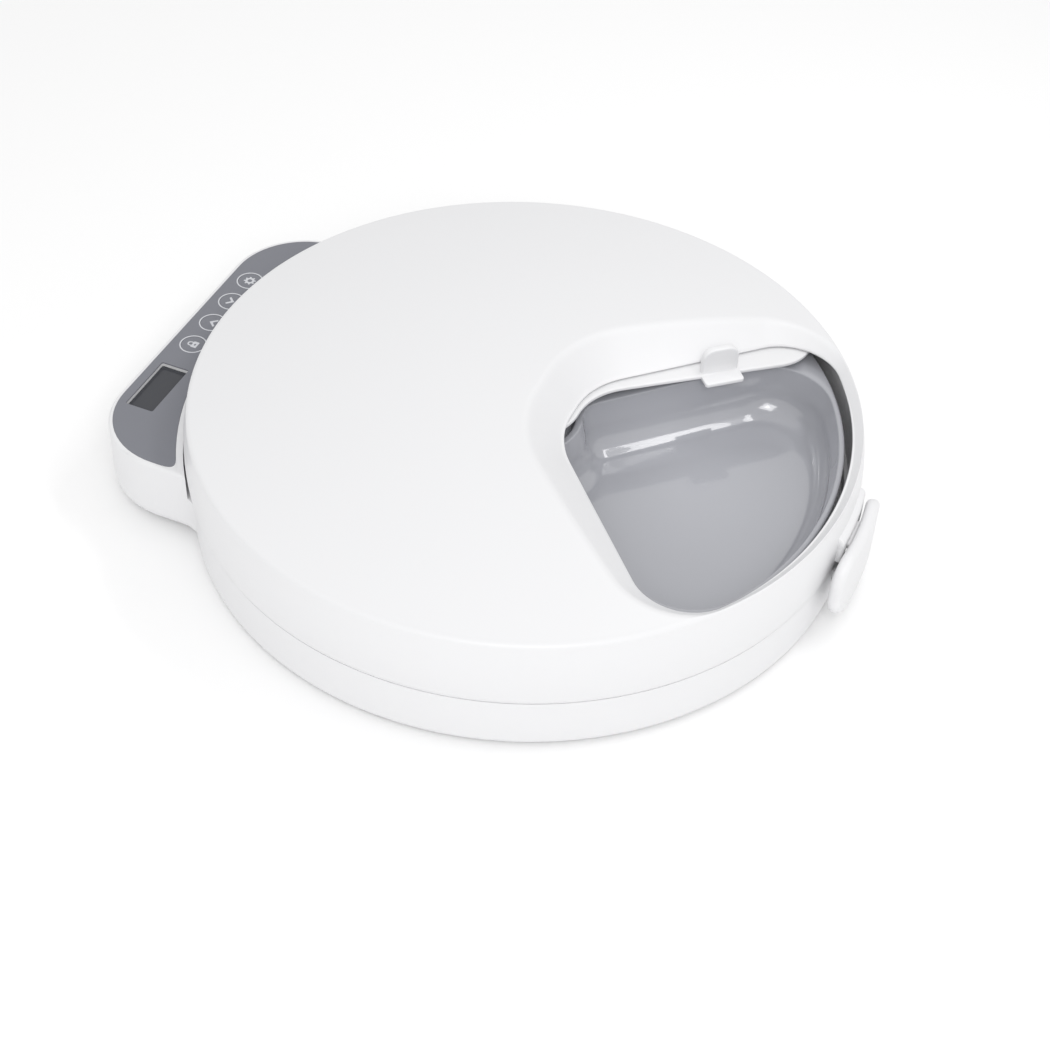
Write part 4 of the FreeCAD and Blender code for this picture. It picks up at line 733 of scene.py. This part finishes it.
def build_shutter():
    outline = shutter_outline()
    count = len(outline)
    normals = []
    for i in range(count):
        run = (outline[(i + 1) % count] - outline[i - 1]).normalized()
        normals.append(Vector((run.y, -run.x)))

    def ring(inset, drop):
        row = []
        for p, out in zip(outline, normals):
            q = p - out * inset
            row.append((q.x, q.y, shutter_top(q.length) - drop))
        return row

    def plate(drop, parts):
        """Rings over a flat side, each a part of the way from the bore to the edge."""
        rows = []
        for part in parts:
            row = []
            for p in ring(SHUTTER_FLAT, drop):
                out = Vector(p[:2])
                q = out.normalized() * (SHUTTER_BORE_R + (out.length - SHUTTER_BORE_R) * part)
                row.append((q.x, q.y, shutter_top(q.length) - drop))
            rows.append(row)
        return rows

    parts = [n / PLATE_STEPS for n in range(PLATE_STEPS + 1)]
    rings = plate(0, parts) + [ring(inset, drop) for inset, drop in SHUTTER_EDGE] + plate(SHUTTER_T, parts[::-1])
    points, faces = tube_of_rings(rings)
    mesh_piece("shutter_plate", points, faces, "shutter", ["shutter"], white, angle=50)

    top = shutter_top(TAB_R)
    bar = block("shutter_bar", (TAB_R - BAR_HALF, -SHUTTER_FRONT - BAR_AHEAD, top - SHUTTER_T),
                (TAB_R + BAR_HALF, BAR_BACK, top + BAR_RAISED))
    round_corners(bar, axis=2, width=1.2, segments=4)
    bevelled(bar, width=0.5, segments=3)
    tab_front = TAB_STEP - SHUTTER_FRONT
    tab = block("shutter_tab", (TAB_R - TAB_HALF, tab_front, top - TAB_SUNK),
                (TAB_R + TAB_HALF, tab_front + TAB_T, top + TAB_H))
    round_corners(tab, axis=1, width=5.0, segments=10, keep=lambda edge: edge.z > top)
    bevelled(tab, width=0.8, segments=4)
    for piece in (bar, tab):
        piece.data.transform(Matrix.Rotation(math.radians(SHUTTER_LEAD), 4, "Z"))
        finished(piece, "shutter", ["shutter"], white)

    hub = disc("shutter_hub", HUB_R, HUB_H, (0, 0, HUB_Z))
    edit_faces(hub, lambda face: abs(face.normal.z) > LEVEL)
    bpy.ops.mesh.inset(thickness=(HUB_R - SHUTTER_BORE_R) * MM)
    bpy.ops.mesh.bridge_edge_loops()
    bpy.ops.object.mode_set(mode="OBJECT")
    bevelled(hub, width=0.3, segments=2)
    finished(hub, "shutter", ["shutter"], white)


# ---------------------------------------------------------------- latch
LATCH_BACK = 137.0
LATCH_T = 5.5
LATCH_HALF = 25.05
LATCH_LOW = 12.0
LATCH_TOP = 40.0
LATCH_CORNER = 10.5
LEVER_SUNK = 1.5            # neck and nose, into the plate
NECK_HALF = 7.0
NECK_BACK = 134.4
NECK_LOW, NECK_TOP = 34.6, 37.6
NOSE_HALF = 6.0
NOSE_BACK = 131.2
NOSE_LOW, NOSE_TOP = 16.0, 21.0
MOUNT_FACE = 136.15         # clears the lever's top as it tips in
MOUNT_BACK = 131.0
MOUNT_LEFT, MOUNT_RIGHT = -12.5, 19.5
MOUNT_GAP_HALF = 7.3        # room for the neck
EAR_LOW, EAR_TOP = 31.0, 39.0
HOOD_LOW, HOOD_TOP = 38.4, 43.6
HOOD_ROUND = 3.1
BEND_STEP = 2.5             # width of the flats in a bent piece
PLATE_CUTS = range(-5, 6)   # in those steps
MOUNT_CUTS = range(-4, 9)


def bent(piece, radius):
    """Wraps a piece that stands on the plane y = -radius round a cylinder about the axis."""
    for v in piece.data.vertices:
        turn = v.co.x / (radius * MM)
        reach = -v.co.y
        v.co.x, v.co.y = reach * math.sin(turn), -reach * math.cos(turn)


def sliced(piece, cuts):
    """Cuts a piece across its width at each step, so that it can bend."""
    only(piece)
    for cut in cuts:
        bpy.ops.object.mode_set(mode="EDIT")
        bpy.ops.mesh.select_all(action="SELECT")
        bpy.ops.mesh.bisect(plane_co=(cut * BEND_STEP * MM, 0, 0), plane_no=(1, 0, 0))
        bpy.ops.object.mode_set(mode="OBJECT")


def build_latch():
    face = -LATCH_BACK - LATCH_T
    plate = block("latch_plate", (-LATCH_HALF, face, LATCH_LOW), (LATCH_HALF, -LATCH_BACK, LATCH_TOP))
    round_corners(plate, axis=1, width=LATCH_CORNER, segments=14)
    bevelled(plate, width=2.6, segments=6)
    sliced(plate, PLATE_CUTS)
    bent(plate, LATCH_BACK + LATCH_T / 2)
    finished(plate, "latch", ["latch_lever"], white, angle=50)

    into = -LATCH_BACK - LEVER_SUNK
    neck = block("latch_neck", (-NECK_HALF, into, NECK_LOW), (NECK_HALF, -NECK_BACK, NECK_TOP))
    bevelled(neck, width=0.8, segments=3)
    finished(neck, "latch", ["latch_lever"], white)
    nose = block("latch_nose", (-NOSE_HALF, into, NOSE_LOW), (NOSE_HALF, -NOSE_BACK, NOSE_TOP))
    bevelled(nose, width=1.2, segments=4)
    finished(nose, "latch", ["latch_lever"], white)

    for side, low_x, high_x in (("left", MOUNT_LEFT, -MOUNT_GAP_HALF), ("right", MOUNT_GAP_HALF, MOUNT_RIGHT)):
        ear = block("latch_mount_" + side, (low_x, -MOUNT_FACE, EAR_LOW), (high_x, -MOUNT_BACK, EAR_TOP))
        bevelled(ear, width=1.2, segments=4)
        sliced(ear, MOUNT_CUTS)
        bent(ear, LATCH_BACK)
        finished(ear, "lid", ["lid_shell"], white)
    hood = block("latch_mount_hood", (MOUNT_LEFT, -MOUNT_FACE, HOOD_LOW), (MOUNT_RIGHT, -MOUNT_BACK, HOOD_TOP))
    middle_z = (HOOD_LOW + HOOD_TOP) / 2
    middle_y = -(MOUNT_FACE + MOUNT_BACK) / 2
    round_corners(hood, axis=0, width=HOOD_ROUND, segments=8,
                  keep=lambda edge: edge.z > middle_z and edge.y < middle_y)
    bevelled(hood, width=0.4, segments=2)
    sliced(hood, MOUNT_CUTS)
    bent(hood, LATCH_BACK)
    finished(hood, "lid", ["lid_shell"], white, angle=50)


# ---------------------------------------------------------------- control panel
PANEL_TOP = 35.0
KEY_Y = 146.5
KEY_X = {"lock": -8.5, "up": 7.5, "down": 23.5, "settings": 39.5}
KEY_R = 5.0
KEY_T = 1.1
STUD_R = 3.0                # under the key
STUD_H = 1.1
RING_OUTER_R = 5.68
RING_INNER_R = 5.12
PRINT_T = 0.05
PRINT_SUNK = 0.02
OVERLAY_R = 137.5           # the overlay's edge beside the lid
OVERLAY_CORNER = 6.5
CORNER_STEPS = 12
CORNER_SPARE = 0.25         # how far a printed corner covers the overlay's edge
MARK_SIZE = 1.25            # the marks' size, over that of the outlines below
LOCK_BODY = ((-1.35, -1.7), (1.35, -1.7), (1.5, -1.5), (1.5, 0.1), (1.35, 0.3), (-1.35, 0.3), (-1.5, 0.1),
             (-1.5, -1.5))
KEYHOLE = 0.3               # share of the lock's body
KEYHOLE_DROP = 0.65
SHACKLE_R = (1.05, 0.6)
SHACKLE_FOOT = 0.3
SHACKLE_MIDDLE = 0.95
CHEVRON = ((-2.0, -1.1), (-1.4, -1.5), (0, -0.1), (1.4, -1.5), (2.0, -1.1), (0, 1.1))
GEAR_R, GEAR_ROOT_R, GEAR_BORE_R = 2.1, 1.6, 0.8
GEAR_TEETH = 8
TOOTH = ((0.0, GEAR_ROOT_R), (0.16, GEAR_ROOT_R), (0.26, GEAR_R), (0.56, GEAR_R), (0.66, GEAR_ROOT_R),
         (0.82, GEAR_ROOT_R))          # share of a tooth's turn, and radius


def printed_band(name, outer, inner, place, body):
    """Thin printed shape between two closed outlines of equal length."""
    at = Vector(place)
    low = PANEL_TOP - PRINT_SUNK
    high = PANEL_TOP + PRINT_T
    rings = [[(*(at + p), z) for p in outline] for outline, z in
             ((outer, low), (outer, high), (inner, high), (inner, low))]
    points, faces = tube_of_rings(rings)
    mesh_piece(name, points, faces, body, [], ink)


def printed_shape(name, outline, place, body, finish=ink):
    """Thin printed shape inside one outline."""
    at = Vector(place)
    count = len(outline)
    points = [(*(at + p), z) for z in (PANEL_TOP - PRINT_SUNK, PANEL_TOP + PRINT_T) for p in outline]
    faces = [tuple(range(count))[::-1], tuple(range(count, 2 * count))]
    faces += joined(range(count), range(count, 2 * count))
    mesh_piece(name, points, faces, body, [], finish)


def circle(radius, count=48):
    return [flat(radius, 360 * n / count) for n in range(count)]


def mark(outline):
    return [Vector(p) * MARK_SIZE for p in outline]


def build_key(key):
    cap = disc("key_cap_" + key, KEY_R, KEY_T, (KEY_X[key], KEY_Y, PANEL_TOP - KEY_T / 2), 72)
    edit_faces(cap, faces_down)
    bpy.ops.mesh.inset(thickness=(KEY_R - STUD_R) * MM)
    bpy.ops.mesh.extrude_region_move(TRANSFORM_OT_translate={"value": (0, 0, -STUD_H * MM)})
    bpy.ops.object.mode_set(mode="OBJECT")
    bevelled(cap, width=0.12, segments=2)
    finished(cap, key + "_key", ["key_" + key], film)
    printed_band("ring_" + key, circle(RING_OUTER_R), circle(RING_INNER_R), (KEY_X[key], KEY_Y), "base")


def build_corner(name, x, inwards):
    """White print that rounds the overlay's pointed corner beside the lid."""
    tip = Vector((x, math.sqrt(OVERLAY_R ** 2 - x ** 2)))
    up = tip + Vector((0, OVERLAY_CORNER))
    turn = math.atan2(tip.y, tip.x) - inwards * OVERLAY_CORNER / OVERLAY_R
    along = OVERLAY_R * Vector((math.cos(turn), math.sin(turn)))
    shares = [n / CORNER_STEPS for n in range(CORNER_STEPS + 1)]
    curve = [(1 - t) ** 2 * up + 2 * t * (1 - t) * tip + t * t * along for t in shares]
    corner = [tip + Vector((-CORNER_SPARE * inwards, -CORNER_SPARE))] + curve
    printed_shape("overlay_corner_" + name, corner if inwards > 0 else corner[::-1], (0, 0), "base",
                  white)


def build_panel():
    for key in KEY_X:
        build_key(key)
    low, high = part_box("panel_overlay")
    build_corner("left", low[0] / MM, 1)
    build_corner("right", high[0] / MM, -1)

    lock = (KEY_X["lock"], KEY_Y)
    lock_body = mark(LOCK_BODY)
    keyhole = [p * KEYHOLE + Vector((0, -KEYHOLE_DROP)) for p in lock_body]
    printed_band("lock_body", lock_body, keyhole, lock, "lock_key")
    outer, inner = (
        [Vector((r, SHACKLE_FOOT))] + [flat(r, 18 * n) + Vector((0, SHACKLE_MIDDLE)) for n in range(11)]
        + [Vector((-r, SHACKLE_FOOT))] for r in SHACKLE_R)
    printed_shape("lock_shackle", mark(outer + inner[::-1]), lock, "lock_key")

    chevron = mark(CHEVRON)
    printed_shape("up_mark", chevron, (KEY_X["up"], KEY_Y), "up_key")
    printed_shape("down_mark", [Vector((-p.x, -p.y)) for p in chevron], (KEY_X["down"], KEY_Y), "down_key")
    gear = mark(flat(radius, 360 * (n + part) / GEAR_TEETH) for n in range(GEAR_TEETH) for part, radius in TOOTH)
    bore = [p.normalized() * GEAR_BORE_R * MARK_SIZE for p in gear]
    printed_band("settings_mark", gear, bore, (KEY_X["settings"], KEY_Y), "settings_key")


build_lid()
build_stem()
build_tray()
build_shutter()
build_latch()
build_panel()


# ---------------------------------------------------------------- camera and light
LID_AXIS_AIM = Vector((0, 0, 0.0248))
CAMERA_AZ = math.radians(-68.2)
CAMERA_EL = math.radians(42.18)
CAMERA_DISTANCE = 0.7949
CAMERA_LENS = 67.70
AIM_RIGHT = 0.002329
AIM_UP = -0.03661
CAMERA_ROLL = 0.04485
WORLD_STRENGTH = 0.83
FLOOR_SIZE = 6.0
FLOOR_TONE = 0.97


def place_camera():
    back = Vector((math.sin(CAMERA_AZ) * math.cos(CAMERA_EL), -math.cos(CAMERA_AZ) * math.cos(CAMERA_EL),
                   math.sin(CAMERA_EL)))
    ahead = -back
    right = ahead.cross(Vector((0, 0, 1))).normalized()
    up = right.cross(ahead)
    ahead = (ahead + math.tan(AIM_RIGHT) * right + math.tan(AIM_UP) * up).normalized()
    right = ahead.cross(up).normalized()
    up = right.cross(ahead)
    right = math.cos(CAMERA_ROLL) * right + math.sin(CAMERA_ROLL) * up
    up = right.cross(ahead)
    data = bpy.data.cameras.new("studio_camera")
    data.lens = CAMERA_LENS
    data.sensor_width = 36.0
    data.clip_start = 0.01
    camera = bpy.data.objects.new("studio_camera", data)
    bpy.context.scene.collection.objects.link(camera)
    camera.matrix_world = Matrix((
        (right.x, up.x, -ahead.x, 0), (right.y, up.y, -ahead.y, 0), (right.z, up.z, -ahead.z, 0),
        (0, 0, 0, 1)))
    camera.location = LID_AXIS_AIM + back * CAMERA_DISTANCE
    bpy.context.scene.camera = camera


def placed(lamp, place, towards, along):
    """Puts a lamp in the scene, its width along a direction."""
    back = (Vector(place) - Vector(towards)).normalized()
    side = (Vector(along) - Vector(along).dot(back) * back).normalized()
    up = back.cross(side)
    lamp.matrix_world = Matrix((
        (side.x, up.x, back.x, place[0]), (side.y, up.y, back.y, place[1]), (side.z, up.z, back.z, place[2]),
        (0, 0, 0, 1)))
    bpy.context.scene.collection.objects.link(lamp)


def soft_box(name, place, towards, size, power, along=(1, 0, 0)):
    data = bpy.data.lights.new(name, "AREA")
    data.shape = "RECTANGLE"
    data.size = size[0]
    data.size_y = size[1]
    data.energy = power
    placed(bpy.data.objects.new(name, data), place, towards, along)


def beam(name, place, towards, degrees, power):
    data = bpy.data.lights.new(name, "SPOT")
    data.spot_size = math.radians(degrees)
    data.spot_blend = 1.0
    data.shadow_soft_size = 0.03
    data.energy = power
    placed(bpy.data.objects.new(name, data), place, towards, (0, 0, 1))


def studio():
    world = bpy.data.worlds.new("studio_world")
    world.use_nodes = True
    background = world.node_tree.nodes["Background"]
    background.inputs["Color"].default_value = (1, 1, 1, 1)
    background.inputs["Strength"].default_value = WORLD_STRENGTH
    bpy.context.scene.world = world
    bpy.context.scene.view_settings.view_transform = "Standard"
    soft_box("key_light", place=(-0.75, -0.35, 0.85), towards=(0, 0, 0.03), size=(0.5, 0.5), power=3.8)
    soft_box("strip_light", place=(0.165, -0.246, 0.596), towards=(0.0375, -0.0535, 0.0245),
             size=(0.074, 0.44), power=0.56, along=(0.7071, -0.7071, 0))
    beam("bowl_beam", place=(-0.574, -0.302, 0.665), towards=(0.026, -0.062, 0.026), degrees=5.0, power=11.0)
    deselect_all()
    bpy.ops.mesh.primitive_plane_add(size=FLOOR_SIZE, location=(0, 0, 0))
    floor = bpy.context.object
    floor.name = "studio_floor"
    paper, _, shader = new_material("floor_paper")
    shader.inputs["Base Color"].default_value = (FLOOR_TONE, FLOOR_TONE, FLOOR_TONE, 1)
    shader.inputs["Roughness"].default_value = 0.9
    floor.data.materials.append(paper)


place_camera()
studio()
